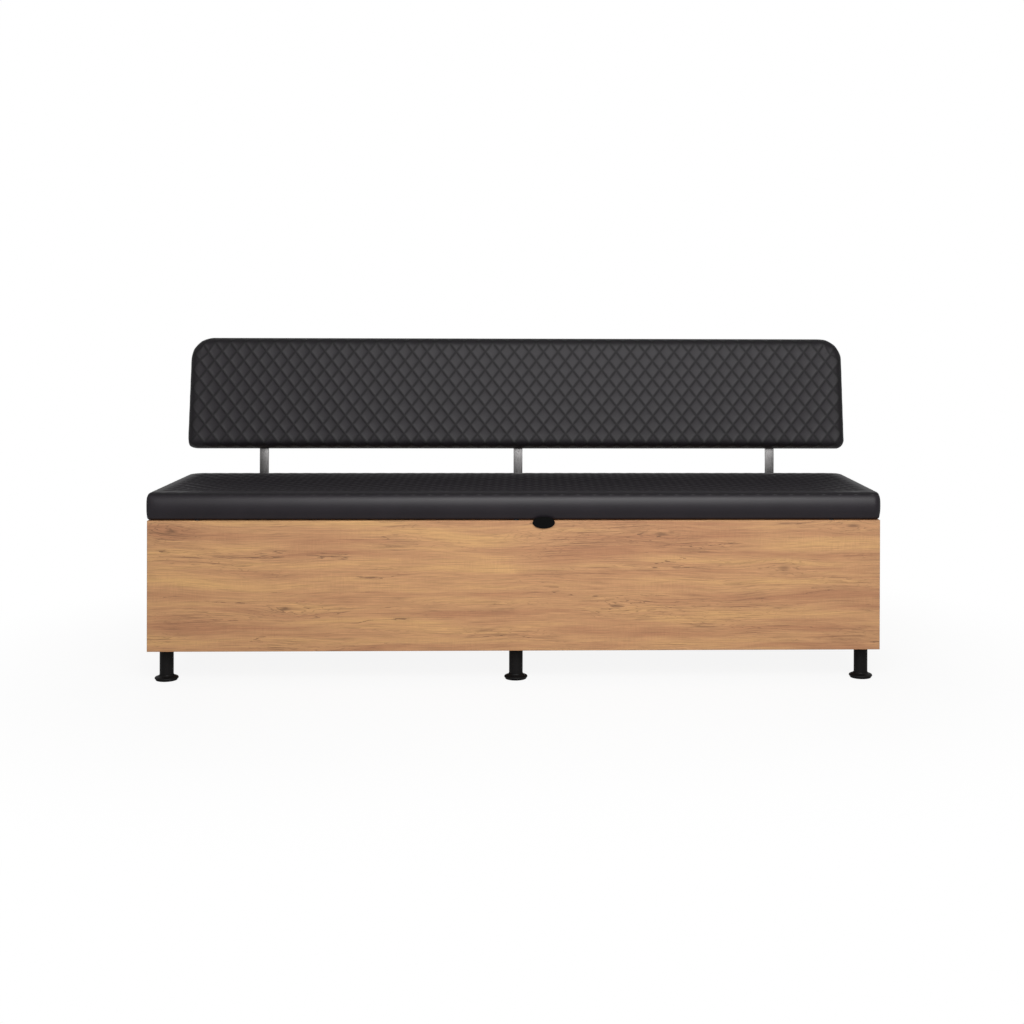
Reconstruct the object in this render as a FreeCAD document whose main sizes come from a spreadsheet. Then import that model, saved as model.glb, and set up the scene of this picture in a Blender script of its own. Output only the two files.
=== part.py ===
import FreeCAD, Part
import math
import os
from types import SimpleNamespace

import Sketcher

# Waiting room bench: a storage box on six legs, a hinged quilted seat lid and a quilted backrest
# on three flat bars. Millimetres. X runs along the bench, Y from front to back, Z up from the floor,
# with the origin on the floor under the middle of the bench.

SIZES = {
    # Storage box
    "box_width": 1800,
    "box_depth": 545,
    "box_height": 320,
    "board": 18,
    "leg_height": 80,
    "origin_setback": 285,
    "rail_depth": 67,
    "edge_round": 1.5,
    # Angle brackets that hold the front and the sides from inside
    "bracket_leg": 30,
    "bracket_width": 25,
    "bracket_thick": 2,
    "bracket_hole": 18,
    "bracket_inset": 150,
    "bracket_rise": 80,
    # Wood screws
    "screw_radius": 2,
    "screw_length": 16,
    "screw_head_radius": 4,
    "screw_head_flat": 2.8,
    "screw_head_height": 2.4,
    "screw_head_side": 1.2,
    "screw_clearance": 0.1,
    "screw_tip_room": 0.5,
    # Panel screws that hold the rear panel
    "panel_screw_radius": 3.5,
    "panel_screw_length": 50,
    "panel_screw_head_radius": 5,
    "panel_screw_head_height": 4,
    "panel_screw_inset": 60,
    "panel_screw_inner_inset": 680,
    "panel_screw_outer_inset": 327,
    # Seat lid
    "lid_gap": 2,
    "bumper_radius": 6,
    "bumper_inset": 120,
    "seat_depth": 480,
    "lid_board": 18,
    "lid_margin": 10,
    "seat_foam": 36,
    "seat_wadding": 4,
    "seat_bulge": 4.5,
    "seat_shoulder": 2.7,
    "seat_edge_drop": 8,
    "seat_edge_inset": 8,
    "seat_turn_drop": 2.4,
    "seat_turn_inset": 3.2,
    "seat_corner": 14,
    "quilt_crown": 2,
    "seat_quilt_border": 16,
    "seat_quilt_rows": 9,
    "quilt_columns": 43,
    "quilt_puff": 3,
    "quilt_rim": 0.3,
    "lid_opening": 60,
    # Finger pull under the front of the lid
    "tab_offset": 68,
    "tab_radius": 27.5,
    "tab_hang": 21,
    "tab_rise": 8,
    "tab_thick": 2.4,
    "tab_stand_off": 1.6,
    "tab_tongue_thick": 1.6,
    "tab_tongue_width": 40,
    "tab_tongue_length": 46,
    "tab_screw_spread": 12,
    # Butt hinges
    "hinge_inset": 200,
    "hinge_length": 72,
    "hinge_rail_leaf": 24,
    "hinge_lid_leaf": 18,
    "hinge_leaf_thick": 2,
    "knuckle_radius": 4,
    "knuckle_gap": 0.3,
    "hinge_lift": 0.5,
    "pin_radius": 2,
    "pin_head_radius": 3.2,
    "pin_head_length": 1.5,
    "running_clearance": 0.06,
    "hinge_screw_spread": 25,
    "hinge_rail_screw": 14,
    "hinge_lid_screw": 9.5,
    "hinge_lid_screw_length": 30,
    # Gas struts, one inside each end of the box
    "strut_stand_off": 14,
    "strut_pivot_back": 15,
    "strut_pivot_drop": 34,
    "strut_reach": 185,
    "strut_lid_drop": 24,
    "strut_tube_radius": 9,
    "strut_tube_wall": 1.5,
    "strut_tube_end": 118,
    "strut_end_wall": 10,
    "strut_gland": 8,
    "strut_rod_radius": 4,
    "strut_piston": 10,
    "strut_piston_start": 22,
    "strut_eye_radius": 7,
    "strut_eye_width": 10,
    "strut_stud_radius": 3,
    "strut_stud_head_radius": 5,
    "strut_stud_head": 2.5,
    "strut_side_play": 0.4,
    "strut_plate_thick": 2,
    "strut_plate_length": 44,
    "strut_plate_height": 19,
    "strut_screw_spread": 16,
    "strut_hanger_gap": 6,
    "strut_hanger_flange": 26,
    "strut_slot_play": 1,
    "strut_room": 2,
    # Legs and levelling feet
    "leg_inset": 36,
    "leg_setback": 53,
    "leg_radius": 17,
    "leg_wall": 2,
    "leg_plate_radius": 32,
    "leg_plate_thick": 3,
    "leg_screw_circle": 24,
    "leg_nut": 10,
    "foot_radius": 29,
    "foot_rim": 4,
    "foot_chamfer": 1.3,
    "foot_collar_radius": 18.5,
    "foot_slope": 4,
    "foot_collar": 3,
    "foot_gap": 0.4,
    "stud_radius": 5,
    "stud_length": 40,
    "pad_radius": 26,
    "pad_thick": 3,
    "pad_boss": 4,
    # Backrest bars
    "bar_inset": 188,
    "bar_width": 25,
    "bar_thick": 5,
    "bar_drop": 310,
    "bar_reach": 250,
    "bend_height": 515,
    "recline": 7,
    "bar_bolt_radius": 4,
    "bar_bolt_head_radius": 8,
    "bar_bolt_head": 4,
    "bar_bolt_head_side": 1.2,
    "bar_bolt_low": 30,
    "bar_bolt_pitch": 120,
    "bar_nut_across": 13,
    "bar_nut": 7,
    "bolt_end": 3,
    # Backrest
    "back_width": 1832,
    "back_height": 310,
    "back_rise": 13,
    "back_board": 15,
    "back_foam": 34,
    "back_wadding": 5,
    "back_margin": 14,
    "back_top_corner": 65,
    "back_bottom_corner": 30,
    "back_rear_inset": 3.5,
    "back_rear_round": 14,
    "back_front_round": 20,
    "back_shoulder_inset": 3.3,
    "back_shoulder_drop": 8,
    "back_front_inset": 12,
    "back_quilt_border": 24,
    "back_quilt_rows": 5,
    "back_bolt_radius": 3,
    "back_bolt_head_radius": 6,
    "back_bolt_head": 3,
    "back_bolt_head_side": 0.9,
    "back_bolt_low": 70,
    "back_bolt_pitch": 130,
    "tee_radius": 4.5,
    "tee_flange_radius": 9,
    "tee_flange": 1.5,
}

# Places worked out from the sizes. front_y and rear_y are the box's outer faces, lid_z the underside
# of the lid, axis_y and axis_z the hinge line, pivot and hanger the two ends of a gas strut.
PLACES = {
    "front_y": "-dim.origin_setback",
    "rear_y": "front_y + dim.box_depth",
    "base_z": "dim.leg_height",
    "floor_z": "base_z + dim.board",
    "top_z": "base_z + dim.box_height",
    "end_x": "dim.box_width / 2",
    "inner_x": "end_x - dim.board",
    "hinge_x": "end_x - dim.hinge_inset",
    "bar_x": "end_x - dim.bar_inset",
    "inner_front": "front_y + dim.board",
    "inner_rear": "rear_y - dim.board",
    "lid_z": "top_z + dim.lid_gap",
    "lid_width": "dim.box_width - 2 * dim.lid_margin",
    "lid_depth": "dim.seat_depth - 2 * dim.lid_margin",
    "foam_z": "lid_z + dim.lid_board",
    "cavity_top": "foam_z + dim.seat_foam",
    "seam_z": "cavity_top + dim.seat_wadding",
    "seat_rear": "front_y + dim.seat_depth",
    "axis_y": "seat_rear + dim.knuckle_radius + dim.hinge_lift",
    "axis_z": "top_z + dim.knuckle_radius + dim.hinge_lift",
    "pivot_y": "axis_y - dim.strut_pivot_back",
    "pivot_z": "axis_z - dim.strut_pivot_drop",
    "hanger_y": "axis_y - dim.strut_reach",
    "hanger_z": "axis_z - dim.strut_lid_drop",
    "strut_x": "inner_x - dim.strut_stand_off",
    "strut_length": "sqrt((hanger_y - pivot_y) ^ 2 + (hanger_z - pivot_z) ^ 2)",
    "leg_x": "end_x - dim.leg_inset",
    "leg_front_y": "front_y + dim.leg_setback",
    "leg_rear_y": "rear_y - dim.leg_setback",
    "rim_top": "dim.pad_thick + dim.foot_rim",
    "foot_top": "rim_top + dim.foot_slope + dim.foot_collar",
    "tube_foot_z": "foot_top + dim.foot_gap",
    "core_thick": "dim.back_board + dim.back_foam",
    "back_thick": "core_thick + dim.back_wadding",
}

SIDES = {"left": -1, "right": 1}
THIRDS = {"left": -1, "middle": 0, "right": 1}
ROWS = {"front": "place.leg_front_y", "rear": "place.leg_rear_y"}

X = FreeCAD.Vector(1, 0, 0)
Y = FreeCAD.Vector(0, 1, 0)
Z = FreeCAD.Vector(0, 0, 1)

doc = FreeCAD.newDocument("bench")
nodes = []


# The two sheets

def sheet(name, cells, mark):
    """A sheet of named cells; mark goes before each value."""
    page = doc.addObject("Spreadsheet::Sheet", name)
    for row, (alias, text) in enumerate(cells.items(), 1):
        page.set(f"A{row}", alias)
        page.set(f"B{row}", f"{mark}{text}")
        page.setAlias(f"B{row}", alias)
    doc.recompute()
    return SimpleNamespace(**{alias: float(page.get(alias)) for alias in cells})


dim = sheet("dim", SIZES, "")
place = sheet("place", PLACES, "=")


# Ways of making a piece

def bind(piece, **texts):
    """Ties properties to the sheets; a double underscore stands for a dot."""
    for name, text in texts.items():
        piece.setExpression(name.replace("__", "."), text)
    return piece


def put(piece, x="0", y="0", z="0"):
    """Ties a piece's place to the sheets."""
    return bind(piece, Placement__Base__x=x, Placement__Base__y=y, Placement__Base__z=z)


def node(piece):
    """Marks a finished sub-part, whose label names its file."""
    nodes.append(piece)
    return piece


def box(label, size, corner):
    """A block by its three sizes and its lowest corner."""
    block = doc.addObject("Part::Box", label)
    bind(block, Length=size[0], Width=size[1], Height=size[2])
    return put(block, *corner)


def cylinder(label, radius, length, base, way=Z):
    """A round bar from a point along a direction."""
    bar = doc.addObject("Part::Cylinder", label)
    bind(bar, Radius=radius, Height=length)
    bar.Placement.Rotation = FreeCAD.Rotation(Z, way)
    return put(bar, *base)


def joined(label, *pieces):
    """One solid out of several overlapping ones."""
    whole = doc.addObject("Part::MultiFuse", label)
    whole.Shapes = list(pieces)
    return whole


def less(label, piece, *tools):
    """A piece with other shapes cut out of it."""
    for count, tool in enumerate(tools, 1):
        cut = doc.addObject("Part::Cut", label if count == len(tools) else f"{label}_cut_{count}")
        cut.Base = piece
        cut.Tool = tool
        piece = cut
    return piece


def sketch_on(body, label, plane):
    """An empty sketch on one of its body's own planes."""
    sketch = body.newObject("Sketcher::SketchObject", label)
    sketch.AttachmentSupport = [(item, "") for item in body.Origin.OriginFeatures if item.Role == plane]
    sketch.MapMode = "FlatFace"
    return sketch


def outline(body, label, plane, points):
    """A closed sketch of straight runs, each point tied to the sheets by its two distances."""
    sketch = sketch_on(body, label, plane)
    count = len(points)
    for index in range(count):
        turn = 2 * math.pi * index / count
        following = 2 * math.pi * (index + 1) / count
        start = FreeCAD.Vector(math.cos(turn), math.sin(turn), 0)
        end = FreeCAD.Vector(math.cos(following), math.sin(following), 0)
        sketch.addGeometry(Part.LineSegment(start, end), False)
    for index in range(count):
        sketch.addConstraint(Sketcher.Constraint("Coincident", index, 2, (index + 1) % count, 1))
    for index, point in enumerate(points):
        for kind, text in zip(("DistanceX", "DistanceY"), point):
            number = sketch.addConstraint(Sketcher.Constraint(kind, -1, 1, index, 1, 1.0))
            sketch.setExpression(f"Constraints[{number}]", text)
    return sketch


def turned(label, profile):
    """A piece turned about its own Z axis, from radius and height pairs."""
    body = doc.addObject("PartDesign::Body", label)
    sketch = outline(body, f"{label}_profile", "XZ_Plane", profile)
    turning = body.newObject("PartDesign::Revolution", f"{label}_turning")
    turning.Profile = sketch
    turning.ReferenceAxis = (sketch, ["V_Axis"])
    turning.Angle = 360
    return body


def rolled(label, section, width):
    """A flat piece of one section in the YZ plane, the same all along X, centred on X."""
    body = doc.addObject("PartDesign::Body", label)
    sketch = outline(body, f"{label}_section", "YZ_Plane", section)
    pad = body.newObject("PartDesign::Pad", f"{label}_pad")
    pad.Profile = sketch
    pad.Midplane = True
    bind(pad, Length=width)
    return body


def copies(pattern, spots):
    """The pattern's shape at each spot."""
    shapes = []
    for spot in spots:
        shape = pattern.Shape.copy()
        shape.Placement = spot.multiply(shape.Placement)
        shapes.append(shape)
    return shapes


def group(label, *sets):
    """One object of separate solids: each set is a pattern and its spots."""
    doc.recompute()
    bunch = doc.addObject("Part::Feature", label)
    bunch.Shape = Part.makeCompound([shape for pattern, spots in sets for shape in copies(pattern, spots)])
    return bunch


def spot(x, y, z, outward):
    """Where a fastener's head bears, and the way the head faces."""
    return FreeCAD.Placement(FreeCAD.Vector(x, y, z), FreeCAD.Rotation(Z, outward))


def solid(faces):
    """A closed solid out of faces that meet edge to edge."""
    body = Part.Solid(Part.Shell(faces))
    return body if body.Volume > 0 else body.reversed()


# Fasteners, each with its head towards +Z, and the holes that they need

def wood_screw(label, length):
    """A pan head screw whose head bears at height 0."""
    return turned(label, [
        ("0", "dim.screw_head_height"),
        ("dim.screw_head_flat", "dim.screw_head_height"),
        ("dim.screw_head_radius", "dim.screw_head_side"),
        ("dim.screw_head_radius", "0"),
        ("dim.screw_radius", "0"),
        ("dim.screw_radius", f"2 * dim.screw_radius - {length}"),
        ("0", f"-{length}"),
    ])


def round_bolt(label, size, length):
    """A round headed bolt; size is the start of its cells' names."""
    return turned(label, [
        ("0", f"dim.{size}_head"),
        (f"dim.{size}_radius", f"dim.{size}_head"),
        (f"dim.{size}_head_radius", f"dim.{size}_head_side"),
        (f"dim.{size}_head_radius", "0"),
        (f"dim.{size}_radius", "0"),
        (f"dim.{size}_radius", f"-({length})"),
        ("0", f"-({length})"),
    ])


def bore(label, radius, depth):
    """A straight hole for a fastener, from just above its seat."""
    return cylinder(label, f"{radius} + dim.screw_clearance", f"{depth} + dim.screw_tip_room * 3",
                    ("0", "0", f"-({depth}) - dim.screw_tip_room"))


bar_bolt_length = "dim.bar_thick + dim.board + dim.bar_nut + dim.bolt_end"
back_bolt_length = "dim.bar_thick + dim.back_board - dim.bolt_end"

short_screw = wood_screw("short_screw", "dim.screw_length")
long_screw = wood_screw("long_screw", "dim.hinge_lid_screw_length")
short_bore = bore("short_bore", "dim.screw_radius", "dim.screw_length")
long_bore = bore("long_bore", "dim.screw_radius", "dim.hinge_lid_screw_length")
bar_bolt = round_bolt("bar_bolt", "bar_bolt", bar_bolt_length)
bar_bore = bore("bar_bore", "dim.bar_bolt_radius", bar_bolt_length)
back_bolt = round_bolt("back_bolt", "back_bolt", back_bolt_length)
back_bore = bore("back_bore", "dim.back_bolt_radius", "dim.bar_thick")


def panel_screw_profile(extra):
    """A panel screw sunk flush, or with some room all round the hole for one."""
    return [
        ("0", extra),
        (f"dim.panel_screw_head_radius + {extra}", extra),
        (f"dim.panel_screw_head_radius + {extra}", f"-dim.panel_screw_head_height - {extra}"),
        (f"dim.panel_screw_radius + {extra}", f"-dim.panel_screw_head_height - {extra}"),
        (f"dim.panel_screw_radius + {extra}", f"-dim.panel_screw_length - {extra}"),
        ("0", f"-dim.panel_screw_length - {extra}"),
    ]


panel_screw = turned("panel_screw", panel_screw_profile("0"))
panel_bore = turned("panel_bore", panel_screw_profile("dim.screw_clearance"))

nut_hex = doc.addObject("Part::Prism", "nut_hex")
nut_hex.Polygon = 6
bind(nut_hex, Circumradius="dim.bar_nut_across / sqrt(3)", Height="dim.bar_nut")
bar_nut = less("bar_nut", nut_hex, cylinder(
    "nut_bore", "dim.bar_bolt_radius + dim.running_clearance", "dim.bar_nut", ("0", "0", "0")))

tee_nut = turned("tee_nut", [
    ("dim.back_bolt_radius + dim.running_clearance", "dim.tee_flange"),
    ("dim.tee_flange_radius", "dim.tee_flange"),
    ("dim.tee_flange_radius", "0"),
    ("dim.tee_radius", "0"),
    ("dim.tee_radius", "dim.bolt_end - dim.back_board"),
    ("dim.back_bolt_radius + dim.running_clearance", "dim.bolt_end - dim.back_board"),
])
tee_bore = cylinder("tee_bore", "dim.tee_radius + dim.screw_clearance", "dim.back_board + dim.tee_flange",
                    ("0", "0", "-dim.back_board"))
tee_recess = cylinder("tee_recess", "dim.tee_flange_radius + dim.screw_clearance", "dim.tee_flange",
                      ("0", "0", "0"))


# Where the fasteners go

def bracket_spot(x, y, z, along, up):
    """An angle bracket's inner corner and the ways its two legs run."""
    return FreeCAD.Placement(FreeCAD.Vector(x, y, z), FreeCAD.Rotation(along, up.cross(along), up, "ZXY"))


bracket_y = (place.inner_front + dim.bracket_inset, place.inner_rear - dim.bracket_inset)
bracket_z = (place.floor_z + dim.bracket_rise, place.top_z - dim.bracket_rise)
bracket_spots = [
    bracket_spot(share * (place.inner_x - dim.bracket_inset), place.inner_front, place.floor_z, Y, Z)
    for share in (-1, -1 / 3, 1 / 3, 1)
]
for side in SIDES.values():
    side_x = side * place.inner_x
    bracket_spots += [bracket_spot(side_x, y, place.floor_z, X * -side, Z) for y in bracket_y]
    bracket_spots += [bracket_spot(side_x, place.inner_front, z, X * -side, Y) for z in bracket_z]

bracket_holes = [
    spot(dim.bracket_hole, 0, dim.bracket_thick, Z),
    spot(dim.bracket_thick, 0, dim.bracket_hole, X),
]
bracket_screws = [corner.multiply(hole) for corner in bracket_spots for hole in bracket_holes]

hinge_x = [step * place.hinge_x for step in THIRDS.values()]
hinge_steps = (-dim.hinge_screw_spread, 0, dim.hinge_screw_spread)
rail_screws = [
    spot(x + step, place.axis_y + dim.hinge_rail_screw, place.top_z + dim.hinge_leaf_thick, Z)
    for x in hinge_x for step in hinge_steps
]
hinge_lid_screws = [
    spot(x + step, place.seat_rear + dim.hinge_leaf_thick, place.axis_z + dim.hinge_lid_screw, Y)
    for x in hinge_x for step in hinge_steps
]

strut_plate_screws = [
    spot(side * (place.inner_x - dim.strut_plate_thick), place.pivot_y + step, place.pivot_z, X * -side)
    for side in SIDES.values() for step in (-dim.strut_screw_spread, dim.strut_screw_spread)
]
hanger_inner_x = place.strut_x - dim.strut_eye_width / 2 - dim.strut_hanger_gap
hanger_screws = [
    spot(side * (hanger_inner_x - dim.strut_hanger_flange / 2), place.hanger_y + step,
         place.lid_z - dim.strut_plate_thick, Z * -1)
    for side in SIDES.values() for step in (-dim.strut_screw_spread, dim.strut_screw_spread)
]
tab_screws = [
    spot(dim.tab_offset + step, place.front_y + dim.tab_tongue_length - dim.tab_screw_spread,
         place.lid_z - dim.tab_tongue_thick, Z * -1)
    for step in (-dim.tab_screw_spread, dim.tab_screw_spread)
]

leg_spots = [
    FreeCAD.Vector(step * place.leg_x, y, place.base_z)
    for y in (place.leg_front_y, place.leg_rear_y) for step in THIRDS.values()
]
leg_screw_turns = [math.radians(45 + 90 * quarter) for quarter in range(4)]
leg_screws = [
    spot(leg.x + dim.leg_screw_circle * math.cos(turn), leg.y + dim.leg_screw_circle * math.sin(turn),
         leg.z - dim.leg_plate_thick, Z * -1)
    for leg in leg_spots for turn in leg_screw_turns
]

bar_x = [step * place.bar_x for step in THIRDS.values()]
bar_foot_z = dim.bend_height - dim.bar_drop
bar_bolt_z = [bar_foot_z + dim.bar_bolt_low + step * dim.bar_bolt_pitch for step in (0, 1)]
bar_bolts = [spot(x, place.rear_y + dim.bar_thick, z, Y) for x in bar_x for z in bar_bolt_z]
bar_nuts = [spot(x, place.inner_rear, z, Y * -1) for x in bar_x for z in bar_bolt_z]

# The backrest's own frame: Y = 0 is the back of its board, which lies on the bars, Z runs up the bars
bend = FreeCAD.Vector(0, place.rear_y, dim.bend_height)
leaning = FreeCAD.Placement(bend, FreeCAD.Rotation(X * -1, dim.recline))
back_bolt_z = [dim.back_bolt_low + step * dim.back_bolt_pitch for step in (0, 1)]
back_holes = [(x, z) for x in bar_x for z in back_bolt_z]
back_bolts = [leaning.multiply(spot(x, dim.bar_thick, z, Y)) for x, z in back_holes]
tee_spots = [leaning.multiply(spot(x, -dim.back_board, z, Y * -1)) for x, z in back_holes]

side_middle = place.end_x - dim.board / 2
panel_screw_x = (place.end_x - dim.panel_screw_inner_inset, place.end_x - dim.panel_screw_outer_inset)
panel_screws = []
for side in SIDES.values():
    for height in (place.floor_z + dim.panel_screw_inset, place.top_z - dim.panel_screw_inset):
        panel_screws.append(spot(side * side_middle, place.rear_y, height, Y))
    for height in (place.base_z + dim.board / 2, place.top_z - dim.board / 2):
        panel_screws += [spot(side * x, place.rear_y, height, Y) for x in panel_screw_x]

box_screws = bracket_screws + rail_screws + strut_plate_screws + leg_screws
lid_screws = hanger_screws + tab_screws


# Storage box

box_bores = group("box_bores", (short_bore, box_screws), (panel_bore, panel_screws), (bar_bore, bar_bolts))


def panel(label, size, corner):
    """A board of the box with the holes for its fasteners."""
    return node(less(label, box(f"{label}_board", size, corner), box_bores))


full_front = ("dim.box_width", "dim.board", "dim.box_height")
inner_depth = "dim.box_depth - 2 * dim.board"

front_board = box("front_board", full_front, ("-place.end_x", "place.front_y", "place.base_z"))
doc.recompute()
rounded_front = doc.addObject("Part::Fillet", "rounded_front")
rounded_front.Base = front_board
rounded_front.Edges = [
    (number, dim.edge_round, dim.edge_round) for number, edge in enumerate(front_board.Shape.Edges, 1)
    if abs(edge.BoundBox.YMax - place.front_y) < dim.edge_round
]
node(less("front_panel", rounded_front, box_bores))
panel("rear_panel", full_front, ("-place.end_x", "place.rear_y - dim.board", "place.base_z"))
panel("base_panel", ("dim.box_width", inner_depth, "dim.board"),
      ("-place.end_x", "place.inner_front", "place.base_z"))
for name, corner_x in (("left", "-place.end_x"), ("right", "place.inner_x")):
    panel(f"{name}_side_panel", ("dim.board", inner_depth, "dim.box_height - dim.board"),
          (corner_x, "place.inner_front", "place.floor_z"))

# The rail that carries the hinges, notched at both ends where the struts swing up past it
rail_front = "place.inner_rear - dim.rail_depth"
rail_z = "place.top_z - dim.board"
rail_blank = box("rail_blank", ("2 * place.inner_x", "dim.rail_depth", "dim.board"),
                 ("-place.inner_x", rail_front, rail_z))
notch_width = "dim.strut_stand_off + dim.strut_tube_radius + dim.strut_room"
notch_rear = "place.pivot_y + dim.strut_tube_radius + dim.strut_room"
rail_notches = [
    box(f"{name}_strut_notch", (notch_width, f"{notch_rear} - ({rail_front})", "dim.board"),
        (corner_x, rail_front, rail_z))
    for name, corner_x in (("left", "-place.inner_x"), ("right", f"place.inner_x - ({notch_width})"))
]
node(less("rear_top_rail", rail_blank, *rail_notches, box_bores))

bracket = less(
    "bracket",
    joined("bracket_angle",
           box("bracket_flat", ("dim.bracket_leg", "dim.bracket_width", "dim.bracket_thick"),
               ("0", "-dim.bracket_width / 2", "0")),
           box("bracket_upright", ("dim.bracket_thick", "dim.bracket_width", "dim.bracket_leg"),
               ("0", "-dim.bracket_width / 2", "0"))),
    group("bracket_bores", (short_bore, bracket_holes)))
node(group("corner_brackets", (bracket, bracket_spots)))
node(group("box_screws", (short_screw, box_screws)))
node(group("rear_panel_screws", (panel_screw, panel_screws)))

bumper = turned("bumper", [
    ("0", "0"),
    ("dim.bumper_radius", "0"),
    ("dim.bumper_radius", "dim.lid_gap / 2"),
    ("dim.bumper_radius - dim.lid_gap / 2", "dim.lid_gap"),
    ("0", "dim.lid_gap"),
])
bumper_x = place.end_x - dim.bumper_inset
front_middle = place.front_y + dim.board / 2
seat_middle = place.front_y + dim.seat_depth / 2
bumper_spots = [spot(step * bumper_x, front_middle, place.top_z, Z) for step in THIRDS.values()]
bumper_spots += [spot(side * side_middle, seat_middle, place.top_z, Z) for side in SIDES.values()]
node(group("lid_bumpers", (bumper, bumper_spots)))


# Legs, levelling feet and glide pads, which screw in and out of the legs

for row, leg_y in ROWS.items():
    for name, step in THIRDS.items():
        leg = f"{row}_{name}"
        leg_x = f"{step} * place.leg_x"
        post = turned(f"{leg}_leg_post", [
            ("dim.leg_radius - dim.leg_wall", "0"),
            ("dim.leg_plate_radius", "0"),
            ("dim.leg_plate_radius", "-dim.leg_plate_thick"),
            ("dim.leg_radius", "-dim.leg_plate_thick"),
            ("dim.leg_radius", "place.tube_foot_z - place.base_z"),
            ("dim.stud_radius + dim.running_clearance", "place.tube_foot_z - place.base_z"),
            ("dim.stud_radius + dim.running_clearance", "place.tube_foot_z + dim.leg_nut - place.base_z"),
            ("dim.leg_radius - dim.leg_wall", "place.tube_foot_z + dim.leg_nut - place.base_z"),
        ])
        doc.recompute()
        ring = sketch_on(post, f"{leg}_screw_hole", "XY_Plane")
        ring.addGeometry(Part.Circle(FreeCAD.Vector(1, 1, 0), Z, 1), False)
        for kind, target, text in (
            ("Radius", (0,), "dim.screw_radius + dim.screw_clearance"),
            ("DistanceX", (-1, 1, 0, 3), "dim.leg_screw_circle * cos(45)"),
            ("DistanceY", (-1, 1, 0, 3), "dim.leg_screw_circle * sin(45)"),
        ):
            number = ring.addConstraint(Sketcher.Constraint(kind, *target, 1.0))
            ring.setExpression(f"Constraints[{number}]", text)
        hole = post.newObject("PartDesign::Pocket", f"{leg}_screw_pocket")
        hole.Profile = ring
        bind(hole, Length="dim.leg_plate_thick")
        circle = post.newObject("PartDesign::PolarPattern", f"{leg}_screw_circle")
        circle.Originals = [hole]
        circle.Axis = (ring, ["N_Axis"])
        circle.Occurrences = 4
        circle.Angle = 360
        post.Tip = circle
        node(put(post, leg_x, leg_y, "place.base_z"))

        foot = turned(f"{leg}_foot", [
            ("0", "dim.pad_thick + dim.pad_boss + dim.foot_gap"),
            ("dim.stud_radius + dim.running_clearance", "dim.pad_thick + dim.pad_boss + dim.foot_gap"),
            ("dim.stud_radius + dim.running_clearance", "dim.pad_thick"),
            ("dim.foot_radius - dim.foot_chamfer", "dim.pad_thick"),
            ("dim.foot_radius", "dim.pad_thick + dim.foot_chamfer"),
            ("dim.foot_radius", "place.rim_top - dim.foot_chamfer"),
            ("dim.foot_radius - dim.foot_chamfer", "place.rim_top"),
            ("dim.foot_collar_radius + dim.foot_slope", "place.rim_top + dim.foot_slope / 4"),
            ("dim.foot_collar_radius", "place.rim_top + dim.foot_slope"),
            ("dim.leg_radius", "place.foot_top"),
            ("dim.stud_radius", "place.foot_top"),
            ("dim.stud_radius", "place.foot_top + dim.stud_length"),
            ("0", "place.foot_top + dim.stud_length"),
        ])
        node(put(foot, leg_x, leg_y))

        pad = turned(f"{leg}_glide_pad", [
            ("0", "0"),
            ("dim.pad_radius", "0"),
            ("dim.pad_radius", "dim.pad_thick"),
            ("dim.stud_radius", "dim.pad_thick"),
            ("dim.stud_radius", "dim.pad_thick + dim.pad_boss"),
            ("0", "dim.pad_thick + dim.pad_boss"),
        ])
        node(put(pad, leg_x, leg_y))


# Butt hinges: one leaf lies on the rear rail, the other stands on the back of the lid

third = "dim.hinge_length / 3"
knuckle = f"{third} - dim.knuckle_gap"
notch = "dim.knuckle_radius + dim.hinge_lift"

for name, step in THIRDS.items():
    middle = f"{step} * place.hinge_x"
    start = f"{middle} - dim.hinge_length / 2"

    def hinge_bar(label, radius, length, offset):
        """A round bar on the hinge line."""
        return cylinder(f"{name}_{label}", radius, length,
                        (f"{start} + {offset}", "place.axis_y", "place.axis_z"), X)

    def hinge_bore(label):
        """The hole for the pin, right through the hinge."""
        return hinge_bar(label, "dim.pin_radius + dim.running_clearance", "dim.hinge_length", "0")

    rail_plate = less(
        f"{name}_rail_plate",
        box(f"{name}_rail_flat", ("dim.hinge_length", "dim.hinge_rail_leaf", "dim.hinge_leaf_thick"),
            (start, "place.axis_y", "place.top_z")),
        box(f"{name}_rail_notch", (f"{third} + 2 * dim.knuckle_gap", notch, "dim.hinge_leaf_thick"),
            (f"{start} + {third} - dim.knuckle_gap", "place.axis_y", "place.top_z")))
    rail_leaf = joined(f"{name}_rail_leaf_blank", rail_plate,
                       hinge_bar("rail_knuckle_1", "dim.knuckle_radius", knuckle, "0"),
                       hinge_bar("rail_knuckle_2", "dim.knuckle_radius", knuckle,
                                 f"2 * {third} + dim.knuckle_gap"))
    node(less(f"{name}_hinge_rail_leaf", rail_leaf, hinge_bore("rail_pin_bore"),
              group(f"{name}_rail_screw_bores", (short_bore, rail_screws))))

    lid_plate = less(
        f"{name}_lid_plate",
        box(f"{name}_lid_flat", ("dim.hinge_length", "dim.hinge_leaf_thick", "dim.hinge_lid_leaf"),
            (start, "place.seat_rear", "place.axis_z")),
        box(f"{name}_lid_notch_1", (third, "dim.hinge_leaf_thick", notch),
            (start, "place.seat_rear", "place.axis_z")),
        box(f"{name}_lid_notch_2", (third, "dim.hinge_leaf_thick", notch),
            (f"{start} + 2 * {third}", "place.seat_rear", "place.axis_z")))
    lid_leaf = joined(f"{name}_lid_leaf_blank", lid_plate,
                      hinge_bar("lid_knuckle", "dim.knuckle_radius", third, third))
    node(less(f"{name}_hinge_lid_leaf", lid_leaf, hinge_bore("lid_pin_bore"),
              group(f"{name}_lid_screw_bores", (long_bore, hinge_lid_screws))))

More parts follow.
